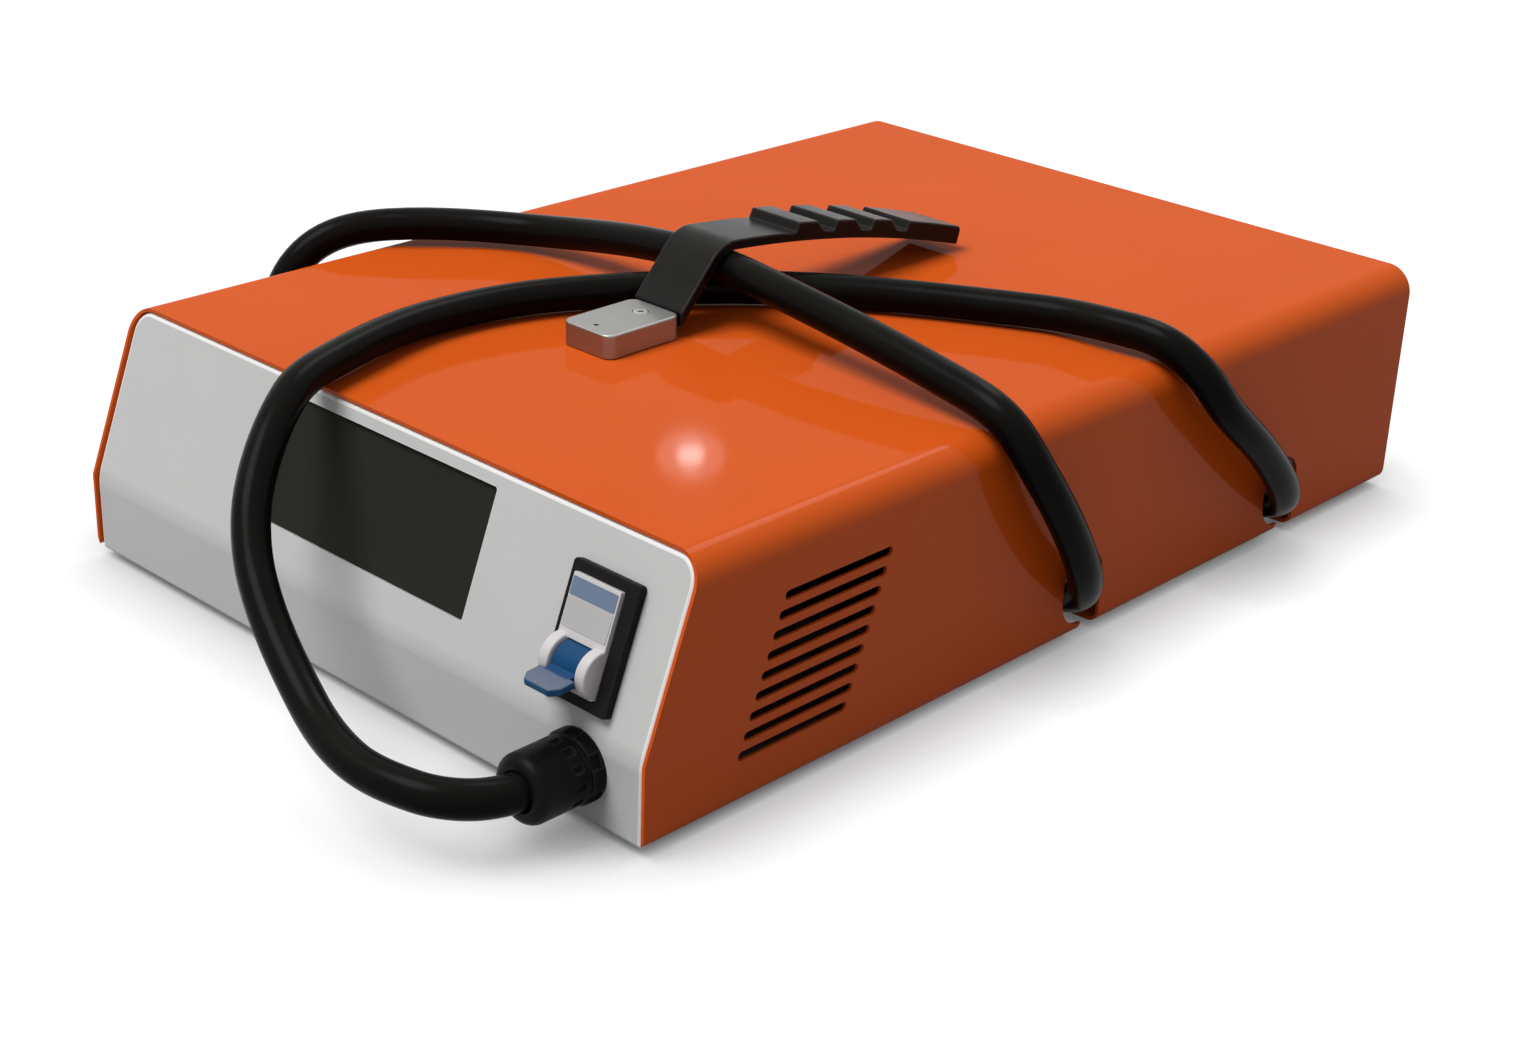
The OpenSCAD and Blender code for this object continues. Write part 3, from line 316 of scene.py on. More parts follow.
@dataclass
class Palette:
    """Node materials, built once each, that share three effect groups."""

    grain_octaves: float = 3.0
    smear_scale: float = 26.0
    smear_octaves: float = 4.0
    drift_octaves: float = 5.0
    drift_gain: float = 2.0
    edge_samples: int = 6
    edge_radius: float = 1.4 * MM
    edge_gain: float = 9.0
    patch_scale: float = 70.0
    patch_octaves: float = 4.0
    patch_gain: float = 1.5
    dust_scale: float = 34.0
    dust_octaves: float = 6.0
    dust_colour: Colour = (196, 188, 178)
    bump_depth: float = 0.2 * MM
    made: dict[str, bpy.types.Material] = field(default_factory=dict)

    def __post_init__(self) -> None:
        """Builds the shared groups."""
        self.grain = self._grain_group()
        self.drift = self._drift_group()
        self.wear_and_sheen = self._wear_and_sheen_group()

    def _grain_group(self) -> bpy.types.NodeTree:
        """Makes the group that gives a surface its fine grain and uneven gloss.

        Returns:
            The group.
        """
        tree = Nodes.shared("surface_grain",
                            {"Vector": Socket.VECTOR, "Scale": Socket.FLOAT, "Roughness": Socket.FLOAT,
                             "Spread": Socket.FLOAT},
                            {"Height": Socket.FLOAT, "Roughness": Socket.FLOAT})
        start = tree.nodes["Group Input"].outputs
        end = tree.nodes["Group Output"].inputs
        fine = Nodes.noise(tree, start["Vector"], start["Scale"], self.grain_octaves)
        smear = Nodes.noise(tree, start["Vector"], self.smear_scale, self.smear_octaves)
        swing = Nodes.calculate(tree, "SUBTRACT", smear, 0.5)
        swing = Nodes.calculate(tree, "MULTIPLY", swing, start["Spread"])
        gloss = Nodes.calculate(tree, "ADD", start["Roughness"], swing, clamp=True)
        tree.links.new(fine, end["Height"])
        tree.links.new(gloss, end["Roughness"])
        return tree

    def _drift_group(self) -> bpy.types.NodeTree:
        """Makes the group that lets a colour drift a little over the surface.

        Returns:
            The group.
        """
        tree = Nodes.shared("tone_drift",
                            {"Vector": Socket.VECTOR, "Colour": Socket.COLOUR, "Amount": Socket.FLOAT,
                             "Scale": Socket.FLOAT},
                            {"Colour": Socket.COLOUR})
        start = tree.nodes["Group Input"].outputs
        end = tree.nodes["Group Output"].inputs
        patch = Nodes.noise(tree, start["Vector"], start["Scale"], self.drift_octaves)
        shift = Nodes.calculate(tree, "SUBTRACT", patch, 0.5)
        shift = Nodes.calculate(tree, "MULTIPLY", shift, start["Amount"])
        tone = tree.nodes.new("ShaderNodeHueSaturation")
        tree.links.new(Nodes.calculate(tree, "ADD", shift, 1.0), tone.inputs["Value"])
        tree.links.new(start["Colour"], tone.inputs["Color"])
        tree.links.new(tone.outputs["Color"], end["Colour"])
        return tree

    def _wear_and_sheen_group(self) -> bpy.types.NodeTree:
        """Makes the group that rubs edges bright, as wear and, on the strap, as a painted highlight, and lets
        dust settle on top.

        Returns:
            The group.
        """
        tree = Nodes.shared("edge_wear_sheen_and_dust",
                            {"Vector": Socket.VECTOR, "Colour": Socket.COLOUR, "Worn_and_lit": Socket.COLOUR,
                             "Wear_and_sheen": Socket.FLOAT, "Dust": Socket.FLOAT},
                            {"Colour": Socket.COLOUR})
        start = tree.nodes["Group Input"].outputs
        end = tree.nodes["Group Output"].inputs
        normal = tree.nodes.new("ShaderNodeNewGeometry").outputs["Normal"]
        bevel = tree.nodes.new("ShaderNodeBevel")
        bevel.samples = self.edge_samples
        bevel.inputs["Radius"].default_value = self.edge_radius
        turn = tree.nodes.new("ShaderNodeVectorMath")
        turn.operation = "DOT_PRODUCT"
        tree.links.new(bevel.outputs["Normal"], turn.inputs[0])
        tree.links.new(normal, turn.inputs[1])
        edge = Nodes.calculate(tree, "SUBTRACT", 1.0, turn.outputs["Value"])
        edge = Nodes.calculate(tree, "MULTIPLY", edge, self.edge_gain, clamp=True)
        patchy = Nodes.noise(tree, start["Vector"], self.patch_scale, self.patch_octaves)
        patchy = Nodes.calculate(tree, "MULTIPLY", patchy, self.patch_gain, clamp=True)
        edge = Nodes.calculate(tree, "MULTIPLY", edge, patchy)
        mask = Nodes.calculate(tree, "MULTIPLY", edge, start["Wear_and_sheen"], clamp=True)
        rubbed_and_lit = Nodes.blend(tree, mask, start["Colour"], start["Worn_and_lit"])
        split = tree.nodes.new("ShaderNodeSeparateXYZ")
        tree.links.new(normal, split.inputs[0])
        settle = Nodes.noise(tree, start["Vector"], self.dust_scale, self.dust_octaves)
        settle = Nodes.calculate(tree, "MULTIPLY", split.outputs["Z"], settle, clamp=True)
        settle = Nodes.calculate(tree, "MULTIPLY", settle, start["Dust"], clamp=True)
        tree.links.new(Nodes.blend(tree, settle, rubbed_and_lit, linear(*self.dust_colour)), end["Colour"])
        return tree

    def get(self, finish: Finish) -> bpy.types.Material:
        """Gives the material of a finish.

        Args:
            finish: The look.

        Returns:
            The material, built on its first use.
        """
        if finish.name in self.made:
            return self.made[finish.name]
        material = bpy.data.materials.new(finish.name)
        material.use_nodes = True
        tree = material.node_tree
        shader = tree.nodes["Principled BSDF"]
        place = tree.nodes.new("ShaderNodeTexCoord").outputs["Object"]
        mapping = tree.nodes.new("ShaderNodeMapping")
        mapping.inputs["Scale"].default_value = finish.stretch
        tree.links.new(place, mapping.inputs["Vector"])
        vector = mapping.outputs["Vector"]
        drift = Nodes.place(tree, self.drift, {
            "Vector": vector, "Colour": linear(*finish.colour), "Amount": finish.drift * self.drift_gain,
            "Scale": finish.drift_scale})
        wear_and_sheen = Nodes.place(tree, self.wear_and_sheen, {
            "Vector": place, "Colour": drift["Colour"], "Worn_and_lit": linear(*finish.wear_and_sheen_colour),
            "Wear_and_sheen": finish.wear_and_sheen, "Dust": finish.dust})
        grain = Nodes.place(tree, self.grain, {
            "Vector": vector, "Scale": finish.grain_scale, "Roughness": finish.rough,
            "Spread": finish.rough_spread})
        bump = tree.nodes.new("ShaderNodeBump")
        bump.inputs["Strength"].default_value = finish.grain_depth
        bump.inputs["Distance"].default_value = self.bump_depth
        tree.links.new(grain["Height"], bump.inputs["Height"])
        tree.links.new(wear_and_sheen["Colour"], shader.inputs["Base Color"])
        tree.links.new(grain["Roughness"], shader.inputs["Roughness"])
        tree.links.new(bump.outputs["Normal"], shader.inputs["Normal"])
        shader.inputs["Metallic"].default_value = finish.metal
        shader.inputs["Coat Weight"].default_value = finish.coat
        shader.inputs["Coat Roughness"].default_value = finish.coat_rough
        shader.inputs["Specular IOR Level"].default_value = finish.specular
        self.made[finish.name] = material
        return material


@dataclass(frozen=True)
class Rounding:
    """How sharp edges are broken: width, faces across it and the least turn in degrees."""

    width: float
    steps: int = 2
    turn: float = 40.0


class Bench:
    """Modelling steps that act on one object at a time."""

    @staticmethod
    def clear() -> None:
        """Leaves edit mode and selects nothing."""
        if bpy.context.object is not None and bpy.context.object.mode != "OBJECT":
            bpy.ops.object.mode_set(mode="OBJECT")
        bpy.ops.object.select_all(action="DESELECT")

    @classmethod
    def only(cls, obj: bpy.types.Object) -> None:
        """Selects one object and makes it active.

        Args:
            obj: The object.
        """
        cls.clear()
        obj.select_set(True)
        bpy.context.view_layer.objects.active = obj

    @classmethod
    def edit_all(cls, obj: bpy.types.Object) -> None:
        """Opens a mesh in edit mode with all of it selected.

        Args:
            obj: The object.
        """
        cls.only(obj)
        bpy.ops.object.mode_set(mode="EDIT")
        bpy.ops.mesh.select_all(action="SELECT")

    @classmethod
    def block(cls, name: str, low: Sequence[float], high: Sequence[float]) -> bpy.types.Object:
        """Adds a block between two corners.

        Args:
            name: Name of the object.
            low: Lowest corner.
            high: Highest corner.

        Returns:
            The block, with its place in its mesh.
        """
        cls.clear()
        middle = [(a + b) / 2 for a, b in zip(low, high)]
        bpy.ops.mesh.primitive_cube_add(size=1.0, location=middle)
        obj = bpy.context.object
        obj.name = name
        obj.scale = [b - a for a, b in zip(low, high)]
        bpy.ops.object.transform_apply(location=True, rotation=True, scale=True)
        return obj

    @classmethod
    def prism(cls, name: str, outline: Outline, depth: float) -> bpy.types.Object:
        """Extrudes an outline upwards from z = 0.

        Args:
            name: Name of the object.
            outline: Corners in X and Y, in order.
            depth: Height of the prism.

        Returns:
            The prism.
        """
        cls.clear()
        bpy.ops.mesh.primitive_circle_add(vertices=len(outline), radius=1.0, fill_type="NGON")
        obj = bpy.context.object
        obj.name = name
        for vertex, (x, y) in zip(obj.data.vertices, outline):
            vertex.co = (x, y, 0.0)
        bpy.ops.object.mode_set(mode="EDIT")
        bpy.ops.mesh.select_all(action="SELECT")
        bpy.ops.mesh.extrude_region_move(TRANSFORM_OT_translate={"value": (0.0, 0.0, depth)})
        cls.outward(obj)
        return obj

    @classmethod
    def turned(cls, name: str, rings: Sequence[tuple[float, float]], sides: int = 72) -> bpy.types.Object:
        """Turns a piece about Z, ring by ring.

        Args:
            name: Name of the object.
            rings: Radius and height of each ring, from the first cap to the last.
            sides: Sides of a ring.

        Returns:
            The turned piece.
        """
        cls.clear()
        radius, height = rings[0]
        bpy.ops.mesh.primitive_circle_add(vertices=sides, radius=radius, fill_type="NGON",
                                          location=(0, 0, height))
        obj = bpy.context.object
        obj.name = name
        bpy.ops.object.transform_apply(location=True, rotation=True, scale=True)
        bpy.ops.object.mode_set(mode="EDIT")
        bpy.ops.mesh.select_all(action="SELECT")
        for next_radius, next_height in rings[1:]:
            rise = (0, 0, next_height - height)
            bpy.ops.mesh.extrude_region_move(TRANSFORM_OT_translate={"value": rise})
            ratio = next_radius / radius
            bpy.ops.transform.resize(value=(ratio, ratio, 1.0))
            radius, height = next_radius, next_height
        cls.outward(obj)
        return obj

    @classmethod
    def rod(cls, name: str, radius: float, low: float, high: float, sides: int) -> bpy.types.Object:
        """Makes a straight rod along Z."""
        return cls.turned(name, ((radius, low), (radius, high)), sides)

    @classmethod
    def outward(cls, obj: bpy.types.Object) -> None:
        """Points every face of a closed mesh outwards and leaves edit mode.

        Args:
            obj: The object.
        """
        cls.edit_all(obj)
        bpy.ops.mesh.normals_make_consistent(inside=False)
        bpy.ops.object.mode_set(mode="OBJECT")

    @classmethod
    def pick(cls, obj: bpy.types.Object, kind: Pick, test: Test) -> int:
        """Selects parts of a mesh by their place and leaves it in edit mode.

        Args:
            obj: The object.
            kind: What is selected.
            test: Given the middle of a part and its direction or normal, says if it is wanted.

        Returns:
            How many parts were selected.
        """
        cls.only(obj)
        bpy.ops.object.mode_set(mode="EDIT")
        bpy.ops.mesh.select_mode(type=kind.value)
        bpy.ops.mesh.select_all(action="DESELECT")
        bpy.ops.object.mode_set(mode="OBJECT")
        mesh = obj.data
        count = 0
        if kind is Pick.VERTS:
            parts = [(v, v.co, v.normal) for v in mesh.vertices]
        elif kind is Pick.FACES:
            parts = [(p, p.center, p.normal) for p in mesh.polygons]
        else:
            ends = [(e, *(mesh.vertices[v].co for v in e.vertices)) for e in mesh.edges]
            parts = [(e, (a + b) / 2, (b - a).normalized()) for e, a, b in ends]
        for part, middle, way in parts:
            part.select = test(middle, way)
            count += part.select
        bpy.ops.object.mode_set(mode="EDIT")
        return count

    @classmethod
    def round_edges(cls, obj: bpy.types.Object, test: Test, radius: float, steps: int) -> None:
        """Rounds the edges that a test names.

        Args:
            obj: The object.
            test: Given an edge's middle and direction, says if it is wanted.
            radius: Radius of the rounding.
            steps: Faces across the rounding.
        """
        if cls.pick(obj, Pick.EDGES, test):
            bpy.ops.mesh.bevel(offset=radius, offset_type="OFFSET", segments=steps, profile=0.5,
                               affect="EDGES")
        bpy.ops.object.mode_set(mode="OBJECT")

    @classmethod
    def finish_with(cls, obj: bpy.types.Object, kind: str, **settings: object) -> None:
        """Adds a modifier and applies it.

        Args:
            obj: The object.
            kind: Type of the modifier.
            settings: Its values by name.
        """
        cls.only(obj)
        modifier = obj.modifiers.new(kind.lower(), kind)
        for label, value in settings.items():
            setattr(modifier, label, value)
        bpy.ops.object.modifier_apply(modifier=modifier.name)

    @classmethod
    def soften(cls, obj: bpy.types.Object, edge: Rounding) -> None:
        """Breaks the sharp edges of a piece.

        Args:
            obj: The object.
            edge: How its edges are broken.
        """
        cls.finish_with(obj, "BEVEL", width=edge.width, segments=edge.steps, limit_method="ANGLE",
                        angle_limit=math.radians(edge.turn), use_clamp_overlap=True, miter_outer="MITER_ARC")

    @classmethod
    def cut(cls, obj: bpy.types.Object, tool: bpy.types.Object, place: Optional[Matrix] = None) -> None:
        """Cuts a tool out of a piece and removes the tool.

        Args:
            obj: The piece.
            tool: The solid that is cut out.
            place: Where the tool is put first, if it isn't in place.
        """
        if place is not None:
            cls.move(tool, place)
        cls.finish_with(obj, "BOOLEAN", object=tool, operation="DIFFERENCE", solver="EXACT")
        bpy.data.objects.remove(tool, do_unlink=True)

    @classmethod
    def merge(cls, name: str, pieces: Sequence[bpy.types.Object]) -> bpy.types.Object:
        """Joins several objects into one.

        Args:
            name: Name of the result.
            pieces: The objects.

        Returns:
            The joined object.
        """
        cls.clear()
        for piece in pieces:
            piece.select_set(True)
        bpy.context.view_layer.objects.active = pieces[0]
        bpy.ops.object.join()
        pieces[0].name = name
        return pieces[0]

    @classmethod
    def move(cls, obj: bpy.types.Object, matrix: Matrix) -> bpy.types.Object:
        """Puts a piece in its place and stores the place in its mesh.

        Args:
            obj: The object.
            matrix: Its place.

        Returns:
            The object.
        """
        cls.only(obj)
        obj.matrix_world = matrix
        bpy.ops.object.transform_apply(location=True, rotation=True, scale=True)
        return obj

    @classmethod
    def smooth(cls, obj: bpy.types.Object, angle: float) -> None:
        """Shades a piece smooth and keeps its flat faces flat.

        Args:
            obj: The object.
            angle: Edges that turn more than this many degrees stay sharp.
        """
        cls.only(obj)
        bpy.ops.object.shade_smooth_by_angle(angle=math.radians(angle))
        cls.finish_with(obj, "WEIGHTED_NORMAL", mode="FACE_AREA", weight=100, keep_sharp=True)


def rounded(width: float, height: float, radius: float, steps: int = 6) -> Outline:
    """Outline of a rectangle with round corners about the origin.

    Args:
        width: Size along X.
        height: Size along Y.
        radius: Radius of the corners.
        steps: Sides of a corner.

    Returns:
        The corners in order.
    """
    points: Outline = []
    for corner, (sx, sy) in enumerate(((1, 1), (-1, 1), (-1, -1), (1, -1))):
        for step in range(steps + 1):
            angle = math.radians(90.0 * (corner + step / steps))
            points.append((sx * (width / 2 - radius) + radius * math.cos(angle),
                           sy * (height / 2 - radius) + radius * math.sin(angle)))
    return points


def arc(start: float, end: float, steps: int) -> list[float]:
    """Angles in radians from one angle in degrees to another, both included."""
    return [math.radians(start + (end - start) * step / steps) for step in range(steps + 1)]


def axes(right: Vector, up: Vector, out: Vector, place: Vector) -> Matrix:
    """Frame made of its three axes and its origin."""
    return Matrix((*zip(right, up, out, place), (0, 0, 0, 1)))


@dataclass
class Case:
    """Sizes that the pieces share, read from the frame, and the frames on its faces."""

    crease_h: float = 38 * MM
    slant_set: float = 30 * MM
    sheet: float = 1.6 * MM
    recess: float = 1 * MM
    lip_w: float = 16 * MM
    low: Vector = field(init=False)
    high: Vector = field(init=False)

    def __post_init__(self) -> None:
        """Reads the cover's box."""
        low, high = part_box("cover")
        self.low = Vector(low)
        self.high = Vector(high)

    @property
    def front_y(self) -> float:
        """Where the front crease lies."""
        return self.low.y

    @property
    def crease_z(self) -> float:
        """Height of the front crease."""
        return self.low.z + self.crease_h

    @property
    def tilt(self) -> float:
        """Lean of the upper front, in radians."""
        return math.atan2(self.slant_set, self.high.z - self.crease_z)

    def inset_crease_z(self, depth: float) -> float:
        """Height of the crease on a surface that lies deeper by depth."""
        return self.crease_z - depth * math.tan(self.tilt / 2)

    def slope(self, x: float = 0.0, v: float = 0.0, n: float = 0.0) -> Matrix:
        """Frame on the sloping front.

        Args:
            x: Offset to the right.
            v: Height along the slope.
            n: Reach out of it.

        Returns:
            The frame's matrix.
        """
        up = Vector((0, math.sin(self.tilt), math.cos(self.tilt)))
        out = Vector((0, -math.cos(self.tilt), math.sin(self.tilt)))
        place = Vector((x, self.front_y, self.crease_z)) + up * v + out * n
        return axes(RIGHT, up, out, place)

    @staticmethod
    def side(x: float = 0.0) -> Matrix:
        """Frame whose X, Y and Z lie along the case's Y, Z and X."""
        return Matrix(((0, 0, 1, x), (1, 0, 0, 0), (0, 1, 0, 0), (0, 0, 0, 1)))

    @staticmethod
    def lower_front(x: float, y: float, z: float) -> Matrix:
        """Frame at a point with its Z to the front."""
        return Matrix(((1, 0, 0, x), (0, 0, -1, y), (0, 1, 0, z), (0, 0, 0, 1)))


@dataclass
class Shop:
    """What every class needs to finish a piece."""

    palette: Palette
    case: Case

    def dress(self, obj: bpy.types.Object, finish: Finish, slot: str, body: str = CASE,
              nodes: Iterable[str] = (), angle: Optional[float] = 32.0) -> None:
        """Gives a piece its material and body, and hides the CAD nodes that it stands for.

        Args:
            obj: The piece.
            finish: Its look.
            slot: Not used.
            body: The body that it rides on.
            nodes: CAD nodes that it replaces.
            angle: Smoothing angle in degrees, or None for a curve.
        """
        if angle is not None:
            Bench.smooth(obj, angle)
        obj.data.materials.clear()
        obj.data.materials.append(self.palette.get(finish))
        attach(obj, body)
        if nodes:
            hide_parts(*nodes)
        LOG.info("%s: %s on %s", obj.name, finish.name, body)


@dataclass(frozen=True)
class SlotRow:
    """Rows of round-ended vent slots, alike on the cover's sides and the rear panel."""

    count: int = 9
    length: float = 65 * MM
    height: float = 4.4 * MM
    pitch: float = 8 * MM
    end_flat: float = 0.01 * MM

    def tool(self, depth: float, place: Callable[[float], Matrix]) -> bpy.types.Object:
        """Makes the tool that cuts the slots.

        Args:
            depth: Depth of the cut.
            place: Gives a slot's frame from its rise above the lowest slot.

        Returns:
            The slots as one solid.
        """
        outline = rounded(self.length, self.height, self.height / 2 - self.end_flat)
        slots = [Bench.move(Bench.prism("slot", outline, depth), place(row * self.pitch))
                 for row in range(self.count)]
        return Bench.merge("slots", slots)


@dataclass(frozen=True)
class NotchRing:
    """Equal notches round a turned piece: their number, first angle, depth, half width and heights."""

    count: int
    first: float
    depth: float
    half: float
    low: float
    high: float
    over: float = 3 * MM

    def cut(self, piece: bpy.types.Object, radius: float) -> None:
        """Cuts the notches into a piece that stands on Z.

        Args:
            piece: The piece.
            radius: Its radius.
        """
        for turn in range(self.count):
            tool = Bench.block("notch", (radius - self.depth, -self.half, self.low),
                               (radius + self.over, self.half, self.high))
            angle = math.radians(self.first + 360.0 / self.count * turn)
            Bench.cut(piece, tool, Matrix.Rotation(angle, 4, "Z"))


@dataclass
class Cover:
    """Folded orange sheet over the top and both sides, with its vents and lead notches."""

    shop: Shop
    bend_r: float = 14 * MM
    bend_steps: int = 12
    lip_r: float = 6 * MM
    lip_steps: int = 6
    lip_trim: float = 24 * MM
    vents: SlotRow = SlotRow()
    vent_z: float = 22.5 * MM
    vent_y: float = 52 * MM
    vent_cut: float = 8 * MM
    notch_h: float = 42 * MM
    notch_low: float = 20 * MM
    notch_over: float = 2 * MM
    hook_x: float = 1 * MM
    # Distance of each notch behind the crease, and its width.
    notch_right: tuple[tuple[float, float], ...] = ((280 * MM, 29 * MM), (445 * MM, 29 * MM))
    notch_left: tuple[tuple[float, float], ...] = ((194 * MM, 36 * MM),)
    edge: Rounding = Rounding(0.6 * MM, 3, 50.0)

    def _runs_at(self, point: Vector, way: Vector, z: float) -> bool:
        """Says if an edge, given its middle and direction, runs the cover's length at height z."""
        middle_y = (self.shop.case.low.y + self.shop.case.high.y) / 2
        return abs(way.y) > ALONG and abs(point.z - z) < NEAR and abs(point.y - middle_y) < NEAR

    def _is_foot(self, point: Vector, way: Vector, x: float) -> bool:
        """Says if an edge, given its middle and direction, is the one at x that the lip starts from."""
        low_z = self.shop.case.low.z
        return abs(point.x - x) < NEAR and abs(point.z - low_z) < NEAR and abs(way.y) > ALONG

    def _shell(self) -> bpy.types.Object:
        """Folds the sheet from a block.

        Returns:
            The sheet with its thickness, before any cut.
        """
        case = self.shop.case
        low, high = case.low, case.high
        shell = Bench.block("cover_shell", low, high)
        Bench.round_edges(shell, lambda p, w: self._runs_at(p, w, high.z), self.bend_r, self.bend_steps)
        Bench.round_edges(shell, lambda p, w: self._runs_at(p, w, low.z), self.lip_r, self.lip_steps)
        Bench.pick(shell, Pick.FACES,
                   lambda p, n: abs(n.y) > ALONG or (n.z < -SQUARE and abs(p.x) < case.lip_w))
        bpy.ops.mesh.delete(type="FACE")
        for side in (-1, 1):
            foot_x = side * (high.x - self.lip_r)
            Bench.pick(shell, Pick.EDGES, lambda p, w: self._is_foot(p, w, foot_x))
            lip = (-side * (case.lip_w - self.lip_r), 0, 0)
            bpy.ops.mesh.extrude_region_move(TRANSFORM_OT_translate={"value": lip})
        Bench.edit_all(shell)
        bpy.ops.mesh.bisect(plane_co=(0, case.front_y, case.crease_z),
                            plane_no=(0, -math.cos(case.tilt), math.sin(case.tilt)), clear_outer=True)
        Bench.outward(shell)
        top = max(shell.data.polygons, key=lambda p: p.area * p.normal.z * (p.center.z > case.crease_z))
        inward = -1.0 if top.normal.z > 0 else 1.0
        Bench.finish_with(shell, "SOLIDIFY", thickness=case.sheet, offset=inward, use_even_offset=True)
        return shell

    def _vent_at(self, x: float, rise: float) -> Matrix:
        """Frame of one slot in a side.

        Args:
            x: The side's place.
            rise: Height above the lowest slot.

        Returns:
            The frame's matrix.
        """
        case = self.shop.case
        y = case.front_y + self.vent_y + self.vents.length / 2 + rise * math.tan(case.tilt)
        z = case.low.z + self.vent_z + rise
        return Matrix.Translation((0, y, z)) @ Case.side(x - self.vent_cut / 2)

    def _notch(self, side: int, y: float, width: float) -> bpy.types.Object:
        """Makes the tool that cuts one hooked notch for the lead.

        Args:
            side: 1 for the right and -1 for the left.
            y: Distance behind the crease.
            width: Width of the notch.

        Returns:
            The tool.
        """
        case = self.shop.case
        reach = case.lip_w + self.notch_over
        half = width / 2
        outline = [(half * math.cos(a), self.notch_h - half + half * math.sin(a)) for a in arc(0, 180, 16)]
        outline += [(half * math.cos(a), self.notch_low + half * math.sin(a)) for a in arc(180, 270, 8)]
        outline += [(self.hook_x, self.notch_low - half), (self.hook_x, -self.notch_over),
                    (half, -self.notch_over)]
        tool = Bench.prism("notch", outline, 2 * reach)
        place = Matrix.Translation((0, case.front_y + y, case.low.z)) @ Case.side(side * case.high.x - reach)
        return Bench.move(tool, place)

    def build(self) -> None:
        """Folds, cuts and dresses the cover."""
        case = self.shop.case
        shell = self._shell()
        inner_x = case.high.x - case.sheet
        trim = Bench.block("trim", (-inner_x, case.low.y - NEAR, 0),
                           (inner_x, case.low.y + self.lip_trim, case.low.z + self.lip_r))
        Bench.cut(shell, trim)
        for x in (-case.high.x, case.high.x):
            Bench.cut(shell, self.vents.tool(self.vent_cut, lambda rise: self._vent_at(x, rise)))
        for side, notches in ((1, self.notch_right), (-1, self.notch_left)):
            for y, width in notches:
                Bench.cut(shell, self._notch(side, y, width))
        Bench.soften(shell, self.edge)
        self.shop.dress(shell, ORANGE_PAINT, "orange_paint", nodes=("cover",))


